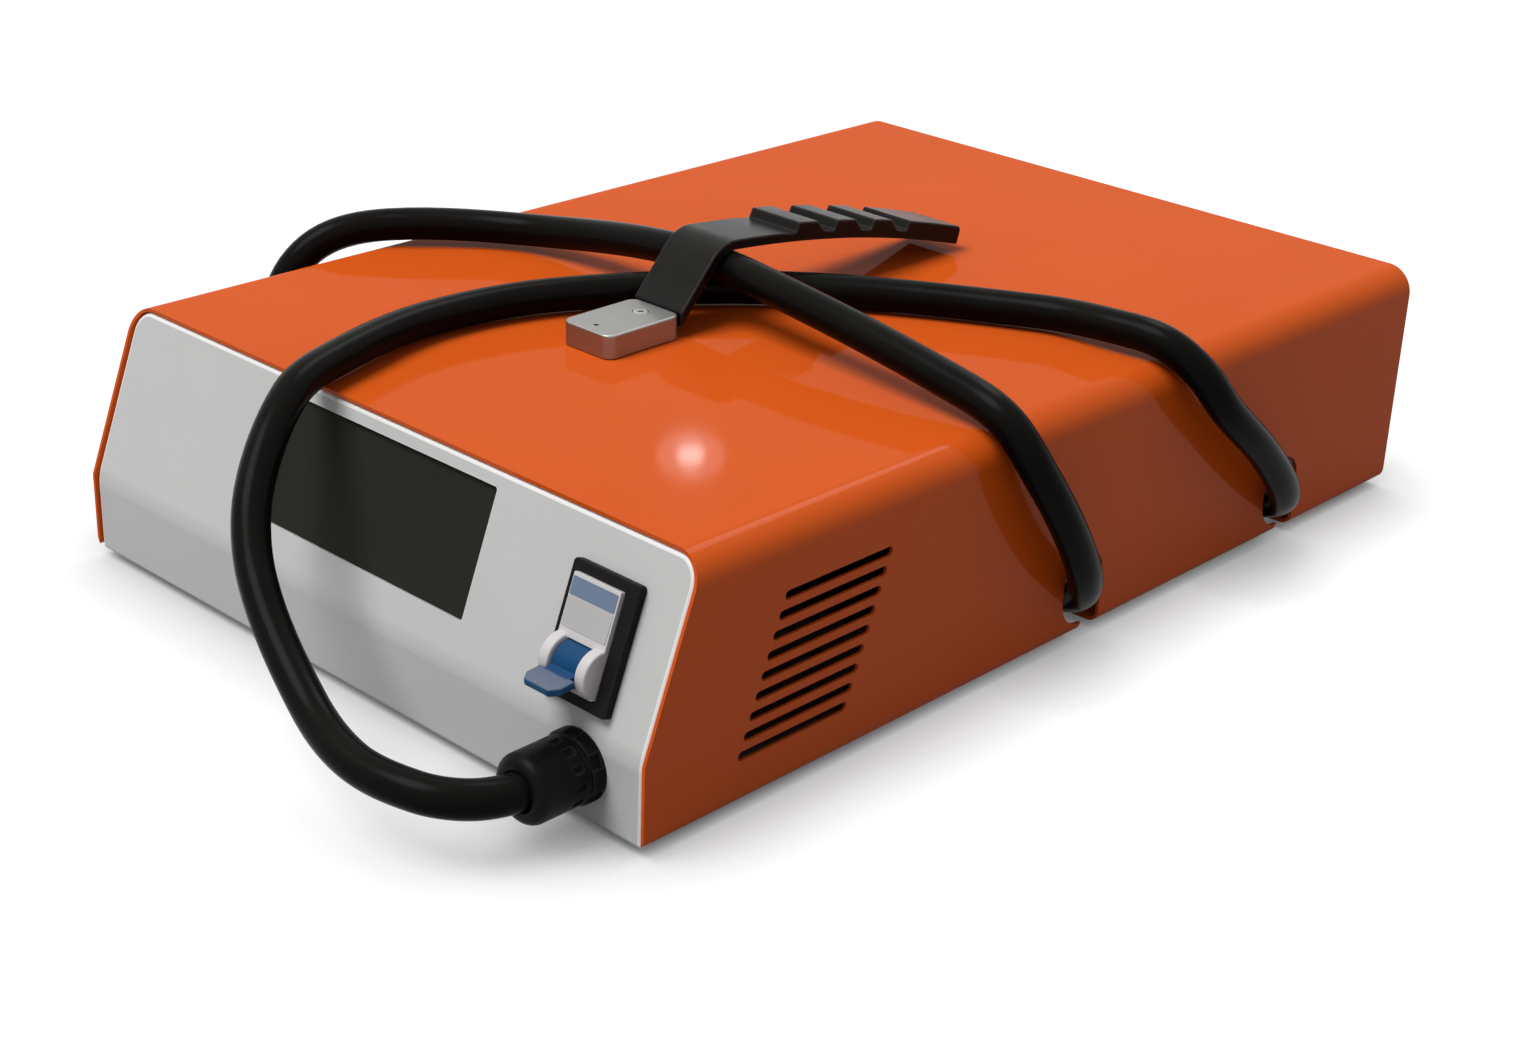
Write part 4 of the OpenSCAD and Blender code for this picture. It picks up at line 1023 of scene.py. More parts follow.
@dataclass
class FrontPanel:
    """Folded grey front with turned edges and its openings."""

    shop: Shop
    turn_depth: float = 9 * MM
    corner_r: float = 11 * MM
    corner_steps: int = 8
    rim: Rounding = Rounding(2.2 * MM, 4, 60.0)
    crease_r: float = 5 * MM
    crease_steps: int = 6
    back_facing: float = 0.75
    # Openings: offset to the right, height along the slope, width and height; for the gland, the radius.
    display: tuple[float, float, float, float] = (4 * MM, 47.5 * MM, 138 * MM, 58 * MM)
    breaker: tuple[float, float, float, float] = (*BREAKER_AT, 27.8 * MM, 45.8 * MM)
    gland: Place = (*GLAND_AT, 12.4 * MM)
    opening_r: float = 1.5 * MM
    cut_len: float = 30 * MM
    cut_back: float = 22 * MM
    gland_cut_back: float = 20 * MM
    sheet: float = 2 * MM
    foot: float = 15 * MM
    edge: Rounding = Rounding(0.5 * MM, 2, 70.0)
    foot_edge: Rounding = Rounding(0.3 * MM)
    # Which rim faces get the painted highlight: least sideways turn, least extra rise, least turn to the
    # front, and greatest depth.
    highlight_side: float = 0.1
    highlight_rise: float = 0.08
    highlight_front: float = 0.05
    highlight_depth: float = 4 * MM

    def _turned_block(self) -> bpy.types.Object:
        """Shapes a block to the outline and rounds it.

        Returns:
            The block, closed at the back.
        """
        case = self.shop.case
        node_low, node_high = (Vector(c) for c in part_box("front_panel"))
        crease_z = case.inset_crease_z(case.recess)
        front = case.front_y + case.recess
        panel = Bench.block("front_panel_sheet", (node_low.x, front, node_low.z),
                            (node_high.x, front + self.turn_depth, node_high.z))
        Bench.edit_all(panel)
        bpy.ops.mesh.bisect(plane_co=(0, 0, crease_z), plane_no=(0, 0, 1))
        bpy.ops.object.mode_set(mode="OBJECT")
        Bench.pick(panel, Pick.VERTS, lambda p, n: p.z > node_high.z - NEAR)
        bpy.ops.transform.translate(value=(0, (node_high.z - crease_z) * math.tan(case.tilt), 0))
        bpy.ops.object.mode_set(mode="OBJECT")
        Bench.round_edges(panel, lambda p, w: abs(w.y) > ALONG and p.z > node_high.z - NEAR,
                          self.corner_r, self.corner_steps)
        Bench.round_edges(panel, lambda p, w: abs(w.x) > ALONG and abs(p.z - crease_z) < NEAR,
                          self.crease_r, self.crease_steps)
        return panel

    def _paint_rim_highlight(self, panel: bpy.types.Object) -> None:
        """Paints a highlight on the rounded outer edge: its faces that turn up or sideways get a brighter
        copy of the grey paint.

        Args:
            panel: The dressed panel.
        """
        case = self.shop.case
        panel.data.materials.append(self.shop.palette.get(PAINTED_RIM_HIGHLIGHT))
        least_rise = math.sin(case.tilt) + self.highlight_rise
        for face in panel.data.polygons:
            n = face.normal
            turned = abs(n.x) > self.highlight_side or n.z > least_rise
            lean = max(0.0, face.center.z - case.crease_z) * math.tan(case.tilt)
            depth = face.center.y - case.front_y - lean
            if turned and n.y < -self.highlight_front and depth < self.highlight_depth:
                face.material_index = 1

    def build(self) -> None:
        """Shapes, hollows, cuts and dresses the panel."""
        case = self.shop.case
        panel = self._turned_block()
        Bench.finish_with(panel, "BEVEL", width=self.rim.width, segments=self.rim.steps,
                          limit_method="ANGLE", angle_limit=math.radians(self.rim.turn))
        Bench.pick(panel, Pick.FACES, lambda p, n: n.y > self.back_facing)
        bpy.ops.mesh.delete(type="FACE")
        bpy.ops.object.mode_set(mode="OBJECT")
        Bench.finish_with(panel, "SOLIDIFY", thickness=self.sheet, offset=-1.0, use_even_offset=True)
        for x, v, width, height in (self.display, self.breaker):
            tool = Bench.prism("opening", rounded(width, height, self.opening_r), self.cut_len)
            Bench.cut(panel, tool, case.slope(x, v, -self.cut_back))
        x, z, radius = self.gland
        tool = Bench.rod("opening", radius, 0, self.cut_len, sides=48)
        Bench.cut(panel, tool, case.lower_front(x, case.front_y + self.gland_cut_back, case.low.z + z))
        Bench.soften(panel, self.edge)
        low_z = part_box("front_panel")[0][2]
        inner_y = case.front_y + case.recess + self.sheet
        foot_x = case.high.x - case.lip_w
        foot = Bench.block("foot", (-foot_x, inner_y, low_z),
                           (foot_x, inner_y + self.foot, low_z + self.sheet))
        Bench.soften(foot, self.foot_edge)
        panel = Bench.merge("front_panel_sheet", [panel, foot])
        self.shop.dress(panel, GREY_PAINT, "grey_paint", nodes=("front_panel",))
        # Paints a highlight along the rounded rim with a brighter copy of the paint.
        self._paint_rim_highlight(panel)


@dataclass
class Breaker:
    """Bezel, breaker face with its cheeks and print fields, and the moving lever."""

    shop: Shop
    x: float = BREAKER_AT[0]
    v: float = BREAKER_AT[1]
    width: float = 27 * MM
    height: float = 45 * MM
    reach: float = 5 * MM
    face_deep: float = 10 * MM
    back_low: float = -28 * MM
    back_high: float = 36 * MM
    back_deep: float = 56 * MM
    pivot_v: float = -12 * MM
    pivot_n: float = 2 * MM
    cheek_r: float = 10.5 * MM
    cheek_gap: float = 0.1 * MM
    hub_r: float = 8.7 * MM
    hub_gap: float = 0.5 * MM
    lever_w: float = 14.6 * MM
    well_gap: float = 0.8 * MM
    root_gap: float = 1 * MM
    arm_into: float = 2 * MM
    paddle_w: float = 20 * MM
    paddle_r: float = 23 * MM
    paddle_t: float = 3.5 * MM
    paddle_cut_w: float = 3 * MM
    paddle_cut_h: float = 4 * MM
    lever_rest: float = 25.0
    bezel_side: float = 5.5 * MM
    bezel_trim: float = 1 * MM
    bezel_shift: float = 2 * MM
    bezel_t: float = 4.2 * MM
    bezel_r: float = 2 * MM
    hole_gap: float = 0.6 * MM
    hole_r: float = 1.2 * MM
    hole_cut: float = 20 * MM
    # Start and end of each print field below the top of the face.
    band: tuple[float, float] = (1.6 * MM, 9.2 * MM)
    label: tuple[float, float] = (9.6 * MM, 22 * MM)
    print_w: float = 25.4 * MM
    print_t: float = 0.3 * MM
    print_r: float = 0.5 * MM
    print_sink: float = 0.05 * MM
    bezel_edge: Rounding = Rounding(1.1 * MM, 3, 50.0)
    face_edge: Rounding = Rounding(0.6 * MM, 2, 50.0)
    back_edge: Rounding = Rounding(0.8 * MM)
    cheek_edge: Rounding = Rounding(1.0 * MM, 3, 50.0)
    print_edge: Rounding = Rounding(0.1 * MM)
    hub_edge: Rounding = Rounding(0.8 * MM, 3, 50.0)
    arm_edge: Rounding = Rounding(0.6 * MM)
    paddle_edge: Rounding = Rounding(0.8 * MM, 3)

    def _at(self, v: float = 0.0, n: float = 0.0) -> Matrix:
        """Frame on the slope about the breaker's middle."""
        return self.shop.case.slope(self.x, self.v + v, n)

    def _across(self, n: float = 0.0) -> Matrix:
        """Frame at the lever's pivot with its Z to the right and its X outwards."""
        turn = Matrix(((0, 0, 1, 0), (0, 1, 0, 0), (-1, 0, 0, 0), (0, 0, 0, 1)))
        return self._at(self.pivot_v, self.pivot_n + n) @ turn

    def _bezel(self) -> None:
        """Makes the dark frame round the breaker."""
        case = self.shop.case
        outer = rounded(self.width + 2 * self.bezel_side,
                        self.height + 2 * self.bezel_side - self.bezel_trim, self.bezel_r)
        bezel = Bench.prism("breaker_frame", outer, self.bezel_t)
        Bench.move(bezel, case.slope(self.x + self.bezel_shift, self.v, -case.recess))
        inner = rounded(self.width + self.hole_gap, self.height + self.hole_gap, self.hole_r)
        Bench.cut(bezel, Bench.prism("opening", inner, self.hole_cut), self._at(0, -self.hole_cut / 2))
        Bench.soften(bezel, self.bezel_edge)
        self.shop.dress(bezel, DARK_PLASTIC, "dark_plastic", nodes=("breaker_bezel",))

    def _face(self) -> None:
        """Makes the white body with the lever's well and the two cheeks."""
        half, tall = self.width / 2, self.height / 2
        body = Bench.block("breaker_case", (-half, -tall, -self.face_deep), (half, tall, self.reach))
        Bench.move(body, self._at())
        well_w = self.lever_w + self.well_gap
        well = Bench.rod("well", self.hub_r + self.hub_gap, -well_w / 2, well_w / 2, sides=48)
        Bench.cut(body, well, self._across())
        Bench.soften(body, self.face_edge)
        back = Bench.block("breaker_back", (-half, self.back_low, -self.back_deep),
                           (half, self.back_high, -self.face_deep))
        Bench.soften(Bench.move(back, self._at()), self.back_edge)
        pieces = [body, back]
        cheek_w = (self.width - well_w) / 2 - 2 * self.cheek_gap
        for side in (-1, 1):
            cheek = Bench.rod("cheek", self.cheek_r, 0, cheek_w, sides=64)
            shift = side * (well_w / 2 + self.cheek_gap + cheek_w / 2) - cheek_w / 2
            Bench.move(cheek, self._across() @ Matrix.Translation((0, 0, shift)))
            Bench.soften(cheek, self.cheek_edge)
            pieces.append(cheek)
        body = Bench.merge("breaker_case", pieces)
        self.shop.dress(body, WHITE_PLASTIC, "white_plastic", nodes=("breaker_body",))

    def _print_fields(self) -> None:
        """Lays the blue-grey band and the pale field on the face."""
        top = self.height / 2
        for name, finish, (start, end) in (("breaker_band", BAND_PRINT, self.band),
                                           ("breaker_field", LABEL_PRINT, self.label)):
            low, high = top - end, top - start
            plate = Bench.prism(name, rounded(self.print_w, high - low, self.print_r), self.print_t)
            Bench.move(plate, self._at((low + high) / 2, self.reach - self.print_sink))
            Bench.soften(plate, self.print_edge)
            self.shop.dress(plate, finish, "white_plastic")

    def _lever(self) -> None:
        """Makes the lever: its hub, arm and paddle."""
        half, thick = self.lever_w / 2, self.paddle_t / 2
        hub = Bench.rod("breaker_toggle", self.hub_r, -half, half, sides=64)
        Bench.soften(hub, self.hub_edge)
        Bench.move(hub, self._across())
        swing = self._at(self.pivot_v, self.pivot_n) @ Matrix.Rotation(math.radians(self.lever_rest), 4, "X")
        root = self.cheek_r + self.root_gap
        arm = Bench.block("arm", (-half, -thick, 0), (half, thick, root + self.arm_into))
        Bench.soften(arm, self.arm_edge)
        Bench.move(arm, swing)
        hub = Bench.merge("breaker_toggle", [hub, arm])
        self.shop.dress(hub, BLUE_PLASTIC, "blue_plastic", body=LEVER, nodes=("breaker_lever",))
        half = self.paddle_w / 2
        tip = self.paddle_r - self.paddle_cut_h
        outline = [(-half, root), (half, root), (half, tip), (half - self.paddle_cut_w, self.paddle_r),
                   (self.paddle_cut_w - half, self.paddle_r), (-half, tip)]
        paddle = Bench.prism("breaker_paddle", outline, self.paddle_t)
        flat = Matrix(((1, 0, 0, 0), (0, 0, -1, thick), (0, 1, 0, 0), (0, 0, 0, 1)))
        Bench.soften(paddle, self.paddle_edge)
        Bench.move(paddle, swing @ flat)
        self.shop.dress(paddle, PADDLE_PLASTIC, "blue_plastic", body=LEVER)

    def build(self) -> None:
        """Makes every piece of the breaker."""
        self._bezel()
        self._face()
        self._print_fields()
        self._lever()


@dataclass
class Gland:
    """Cable gland in the lower front: flange, dome nut and the lead's exit."""

    shop: Shop
    x: float = GLAND_AT[0]
    z: float = GLAND_AT[1]
    flange_r: float = 16 * MM
    flange_t: float = 7 * MM
    # Inset and drop of each ring of the flange's shoulder.
    shoulder: tuple[tuple[float, float], ...] = ((0.0, 2 * MM), (0.6 * MM, 0.8 * MM), (2 * MM, 0.0))
    wall_r: float = 15.1 * MM
    bore_r: float = 8.75 * MM
    bore_gap: float = 1 * MM
    thread_r: float = 12.2 * MM
    thread_len: float = 14 * MM
    core_r: float = 11.2 * MM
    core_len: float = 8 * MM
    nose_r: float = 5 * MM
    nose_steps: int = 8
    mouth_w: float = 0.4 * MM
    mouth_deep: float = 0.5 * MM
    seat_h: float = 4 * MM
    reach: float = 32 * MM
    grips: NotchRing = NotchRing(count=6, first=30.0, depth=1.1 * MM, half=3.2 * MM, low=1 * MM, high=9 * MM)
    windows: NotchRing = NotchRing(count=12, first=0.0, depth=1.2 * MM, half=1.6 * MM, low=3 * MM,
                                   high=8 * MM)
    flange_edge: Rounding = Rounding(0.4 * MM, 2, 45.0)
    nut_edge: Rounding = Rounding(0.35 * MM, 2, 45.0)

    def _flange(self) -> bpy.types.Object:
        """Turns the flange with its thread and core.

        Returns:
            The flange, standing on Z.
        """
        inner = self.bore_r + self.bore_gap
        core_top = self.flange_t + self.core_len
        rings = [(inner, -self.thread_len), (self.thread_r, -self.thread_len), (self.thread_r, 0),
                 (self.flange_r, 0)]
        rings += [(self.flange_r - inset, self.flange_t - drop) for inset, drop in self.shoulder]
        rings += [(self.core_r, self.flange_t), (self.core_r, core_top), (inner, core_top)]
        return Bench.turned("gland_flange", rings)

    def _nut(self) -> bpy.types.Object:
        """Turns the dome nut.

        Returns:
            The nut, standing on Z.
        """
        length = self.reach + self.shop.case.recess - self.flange_t
        start = length - self.nose_r
        rings = [(self.bore_r, 0), (self.wall_r, 0), (self.wall_r, start)]
        rings += [(self.wall_r - self.nose_r + self.nose_r * math.cos(a), start + self.nose_r * math.sin(a))
                  for a in arc(0, 90, self.nose_steps)[1:]]
        rings += [(self.bore_r + self.mouth_w, length), (self.bore_r, length - self.mouth_deep),
                  (self.bore_r, self.seat_h)]
        return Bench.turned("gland_dome", rings)

    def build(self) -> None:
        """Turns, notches and dresses both pieces."""
        case = self.shop.case
        face = case.front_y + case.recess
        for piece, notches, radius, edge, y, node in (
                (self._flange(), self.grips, self.flange_r, self.flange_edge, face, "gland_body"),
                (self._nut(), self.windows, self.wall_r, self.nut_edge, face - self.flange_t, "gland_nut")):
            notches.cut(piece, radius)
            Bench.soften(piece, edge)
            Bench.move(piece, case.lower_front(self.x, y, case.low.z + self.z))
            self.shop.dress(piece, BLACK_PLASTIC, "black_plastic", nodes=(node,))


@dataclass
class Rear:
    """Rear panel with its openings and the wire guard of the fan."""

    shop: Shop
    top_r: float = 11.9 * MM
    low_r: float = 4.4 * MM
    corner_steps: int = 8
    fan_x: float = -90 * MM
    fan_z: float = 76 * MM
    fan_r: float = 38 * MM
    screw_at: float = 35.5 * MM
    screw_r: float = 2.3 * MM
    wire_r: float = 0.75 * MM
    ring_count: int = 4
    spoke_count: int = 4
    first_spoke: float = 45.0
    ear_r: float = 4 * MM
    supply_r: float = 10.1 * MM
    vents: SlotRow = SlotRow()
    vent_x: float = 20 * MM
    vent_z: float = 38.5 * MM
    cut_half: float = 10 * MM
    edge: Rounding = Rounding(0.4 * MM, 2, 50.0)
    ear_edge: Rounding = Rounding(0.3 * MM)

    def __post_init__(self) -> None:
        """Reads the panel's box."""
        self.low, self.high = (Vector(c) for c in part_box("rear_panel"))

    def _at(self, x: float, z: float, n: float = 0.0) -> Matrix:
        """Frame on the rear face with its Z to the rear."""
        return Matrix(((-1, 0, 0, x), (0, 0, 1, self.high.y + n), (0, 1, 0, z), (0, 0, 0, 1)))

    def _panel(self) -> None:
        """Makes the panel with its corners, its openings and its slots."""
        panel = Bench.block("rear_sheet", self.low, self.high)
        for z, radius in ((self.high.z, self.top_r), (self.low.z, self.low_r)):
            Bench.round_edges(panel, lambda p, w: abs(w.y) > ALONG and abs(p.z - z) < NEAR, radius,
                              self.corner_steps)
        supply_low, supply_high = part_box("supply_gland")
        supply_x, _, supply_z = ((a + b) / 2 for a, b in zip(supply_low, supply_high))
        holes = [(self.fan_x, self.fan_z, self.fan_r, 96), (supply_x, supply_z, self.supply_r, 48)]
        holes += [(self.fan_x + sx * self.screw_at, self.fan_z + sz * self.screw_at, self.screw_r, 24)
                  for sx in (-1, 1) for sz in (-1, 1)]
        for x, z, radius, sides in holes:
            Bench.cut(panel, Bench.rod("opening", radius, -self.cut_half, self.cut_half, sides),
                      self._at(x, z))
        vent_x = self.vent_x + self.vents.length / 2
        Bench.cut(panel, self.vents.tool(
            2 * self.cut_half, lambda rise: self._at(vent_x, self.vent_z + rise, -self.cut_half)))
        Bench.soften(panel, self.edge)
        self.shop.dress(panel, GREY_PAINT, "grey_paint", nodes=("rear_panel",))

    def _guard(self) -> None:
        """Makes the guard from rings, spokes and ears of wire."""
        pieces = []
        ring_pitch = self.fan_r / self.ring_count
        wires_at = self._at(self.fan_x, self.fan_z, self.wire_r)
        for ring in range(1, self.ring_count + 1):
            Bench.clear()
            bpy.ops.mesh.primitive_torus_add(major_radius=ring * ring_pitch, minor_radius=self.wire_r,
                                             major_segments=72, minor_segments=10)
            pieces.append(Bench.move(bpy.context.object, wires_at))
        ear_at = self.screw_at * math.sqrt(2)
        lay = Matrix.Rotation(math.radians(90), 4, "Y")
        for spoke in range(self.spoke_count):
            angle = math.radians(self.first_spoke + 360.0 / self.spoke_count * spoke)
            turn = Matrix.Rotation(angle, 4, "Z")
            wire = Bench.rod("spoke", self.wire_r, ring_pitch, ear_at, sides=12)
            pieces.append(Bench.move(wire, wires_at @ turn @ lay))
            ear = Bench.rod("ear", self.ear_r, 0, 2 * self.wire_r, sides=32)
            Bench.soften(ear, self.ear_edge)
            place = self._at(self.fan_x, self.fan_z) @ turn @ Matrix.Translation((ear_at, 0, 0))
            pieces.append(Bench.move(ear, place))
        guard = Bench.merge("fan_grille", pieces)
        self.shop.dress(guard, ZINC_STEEL, "zinc_steel", nodes=("fan_guard",), angle=40.0)

    def build(self) -> None:
        """Makes the panel and the guard."""
        self._panel()
        self._guard()


@dataclass
class Strap:
    """Metal plate on the top and the toothed rubber strap that holds the lead."""

    shop: Shop
    x: float = -1 * MM
    width: float = 32 * MM
    thick: float = 5 * MM
    tooth_h: float = 4.5 * MM
    tooth_count: int = 3
    tooth_pitch: float = 28 * MM
    tooth_len: float = 15 * MM
    tooth_start: float = 41 * MM
    tooth_rise: float = 1.5 * MM
    valley_cut: float = 0.5 * MM
    pad_nose: float = 1.5 * MM
    crest_ahead: float = 34 * MM
    crest_top: float = 35.8 * MM
    crest_r: float = 14 * MM
    root_h: float = 5 * MM
    tail_angle: float = math.radians(-5)
    tail_r: float = 800 * MM
    tail_len: float = 169 * MM
    ramp_steps: int = 6
    crest_steps: int = 10
    flat_steps: int = 4
    heel_share: float = 0.35
    root_gap: float = 0.2 * MM
    plate_r: float = 5 * MM
    plate_steps: int = 8
    # Distance from the plate's nearer end, radius and depth.
    hole: Place = (7 * MM, 1.2 * MM, 5 * MM)
    sink: Place = (11 * MM, 3.9 * MM, 2.4 * MM)
    sink_over: float = 4 * MM
    plate_edge: Rounding = Rounding(1.0 * MM, 4, 50.0)
    sink_edge: Rounding = Rounding(0.3 * MM, 2, 60.0)
    band_edge: Rounding = Rounding(0.9 * MM, 3, 28.0)

    def __post_init__(self) -> None:
        """Works out the ramp from the plate up to the crest."""
        self.plate_low, self.plate_high = (Vector(c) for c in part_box("strap_plate"))
        self.root = Vector((self.plate_high.y - self.shop.case.front_y, self.root_h))
        self.crest = Vector((self.root.x + self.crest_ahead, self.crest_top - self.crest_r))
        way = self.crest - self.root
        self.ramp_angle = math.atan2(way.y, way.x) + math.asin(self.crest_r / way.length)
        self.ramp_len = math.sqrt(way.length ** 2 - self.crest_r ** 2)
        self.crest_s = self.ramp_len + self.crest_r * (self.ramp_angle - self.tail_angle)

    def _under(self, s: float) -> tuple[Vector, float]:
        """Point of the strap's underside.

        Args:
            s: Distance from the root.

        Returns:
            The point, as distance behind the crease and height above the top, and the direction there.
        """
        if s < self.ramp_len:
            way = Vector((math.cos(self.ramp_angle), math.sin(self.ramp_angle)))
            return self.root + way * s, self.ramp_angle
        if s < self.crest_s:
            angle = self.ramp_angle - (s - self.ramp_len) / self.crest_r
            return self.crest + Vector((-math.sin(angle), math.cos(angle))) * self.crest_r, angle
        angle = self.tail_angle - (s - self.crest_s) / self.tail_r
        start = Vector((-math.sin(self.tail_angle), math.cos(self.tail_angle)))
        middle = self.crest + start * (self.crest_r - self.tail_r)
        return middle + Vector((-math.sin(angle), math.cos(angle))) * self.tail_r, angle

    def _profile(self) -> Outline:
        """Thickness along the strap.

        Returns:
            Distances from the root with the thickness there.
        """
        full = self.thick + self.tooth_h
        valley = self.thick - self.valley_cut
        rise = self.tooth_rise
        bend = self.crest_s - self.ramp_len
        along = [self.ramp_len * k / self.ramp_steps for k in range(self.ramp_steps + 1)]
        along += [self.ramp_len + bend * k / self.crest_steps for k in range(1, self.crest_steps)]
        along += [self.crest_s + self.tooth_start * k / self.flat_steps for k in range(self.flat_steps)]
        stops = [(s, self.thick) for s in along]
        for tooth in range(self.tooth_count):
            s = self.crest_s + self.tooth_start + tooth * self.tooth_pitch
            end = s + self.tooth_len
            stops += [(s, valley), (s + rise, full), (s + self.tooth_len / 2, full), (end, full),
                      (end + 2 * rise, self.thick + self.tooth_h * self.heel_share), (end + 4 * rise, valley)]
        s = self.crest_s + self.tooth_start + self.tooth_count * self.tooth_pitch
        last = self.crest_s + self.tail_len
        stops += [(s, valley), (s + rise, full), ((s + last) / 2, full), (last - self.pad_nose, full),
                  (last, full - self.pad_nose)]
        return stops

    def _plate(self) -> None:
        """Makes the satin plate with its screw recesses."""
        low, high = self.plate_low, self.plate_high
        plate = Bench.block("strap_anchor", low, high)
        Bench.round_edges(plate, lambda p, w: abs(w.z) > ALONG, self.plate_r, self.plate_steps)
        Bench.soften(plate, self.plate_edge)
        hole_in, hole_r, hole_deep = self.hole
        sink_in, sink_r, sink_deep = self.sink
        for y, radius, depth in ((low.y + hole_in, hole_r, hole_deep), (high.y - sink_in, sink_r, sink_deep)):
            tool = Bench.rod("sink", radius, -depth, self.sink_over, sides=48)
            Bench.cut(plate, tool, Matrix.Translation((self.x, y, high.z)))
        Bench.soften(plate, self.sink_edge)
        self.shop.dress(plate, SATIN_ALUMINIUM, "satin_aluminium", nodes=("strap_plate",))

    def _band(self) -> None:
        """Makes the rubber strap with its teeth."""
        case = self.shop.case
        upper: Outline = []
        lower: Outline = []
        for s, thick in self._profile():
            point, angle = self._under(s)
            upper.append((point.x - thick * math.sin(angle), point.y + thick * math.cos(angle)))
            lower.append((point.x, point.y))
        limit = self.root.x + self.root_gap
        outline = [(max(a, limit), b) for a, b in upper + lower[::-1]]
        strap = Bench.prism("toothed_strap", outline, self.width)
        place = Matrix.Translation((0, case.front_y, case.high.z)) @ Case.side(self.x - self.width / 2)
        Bench.move(strap, place)
        Bench.soften(strap, self.band_edge)
        self.shop.dress(strap, STRAP_RUBBER, "rubber", nodes=("strap",), angle=40.0)

    def build(self) -> None:
        """Makes the plate and the strap."""
        self._plate()
        self._band()


@dataclass
class Lead:
    """Output lead, wrapped twice over the case and once under it, with its plug in the bay."""

    shop: Shop
    diameter: float = 16.5 * MM
    steps: int = 8
    bevel_steps: int = 7
    # Points in millimetres: offset to the right, distance behind the crease and height above the floor.
    exit_point: Place = (152, -30, 28)
    route: tuple[Place, ...] = (
        (152, -6, 28), (152, -31, 28), (146, -51, 30), (130, -64, 32), (98, -69, 34), (62, -63, 43),
        (12, -49, 74), (-12, -32, 101), (-34, 4, 128), (-48, 40, 132), (-63, 105, 131), (-48, 174, 131),
        (14, 260, 131), (116, 328, 131), (160, 335, 133), (183, 338, 131), (198, 345, 120), (206, 360, 99),
        (208, 394, 69), (202, 428, 37), (186, 444, 21), (146, 444, 10), (-144, 240, 12), (-180, 207, 22),
        (-202, 176, 40), (-210, 140, 66), (-208, 126, 98), (-200, 144, 124), (-182, 176, 132),
        (-125, 224, 133), (-20, 226, 148), (66, 219, 146), (166, 213, 135), (190, 212, 128),
        (202, 220, 108), (207, 240, 76), (203, 262, 44), (187, 280, 23), (156, 294, 10), (122, 294, 10))

    def _in_frame(self, point: Sequence[float]) -> Vector:
        """Turns a route point into the frame, in metres."""
        return Vector((point[0] * MM, self.shop.case.front_y + point[1] * MM, point[2] * MM))

    def _line(self) -> list[Vector]:
        """Smooth line through the route's points.

        Returns:
            The line's points.
        """
        stops = [self._in_frame(p) for p in self.route]
        stops = [2 * stops[0] - stops[1]] + stops + [2 * stops[-1] - stops[-2]]
        line: list[Vector] = []
        for a, b, c, d in zip(stops, stops[1:], stops[2:], stops[3:]):
            span = (c - b).length
            leave = (c - a).normalized() * span
            reach = (d - b).normalized() * span
            for step in range(self.steps):
                t = step / self.steps
                line.append((2 * t ** 3 - 3 * t ** 2 + 1) * b + (t ** 3 - 2 * t ** 2 + t) * leave
                            + (3 * t ** 2 - 2 * t ** 3) * c + (t ** 3 - t ** 2) * reach)
        line.append(stops[-2])
        return line

    def build(self) -> None:
        line = self._line()
        curve = bpy.data.curves.new("output_lead", "CURVE")
        curve.dimensions = "3D"
        curve.bevel_depth = self.diameter / 2
        curve.bevel_resolution = self.bevel_steps
        curve.use_fill_caps = True
        spline = curve.splines.new("POLY")
        spline.points.add(len(line) - 1)
        for point, place in zip(spline.points, line):
            point.co = (*place, 1.0)
        spline.use_smooth = True
        lead = bpy.data.objects.new("output_lead", curve)
        bpy.context.scene.collection.objects.link(lead)
        self.shop.dress(lead, LEAD_JACKET, "rubber", nodes=("lead",), angle=None)


@dataclass(frozen=True)
class Sheen:
    """Lamp that shows only as a shine on gloss: its two diameters, power, place and aim."""

    name: str
    size: tuple[float, float]
    watts: float
    place: Place
    aim: Place


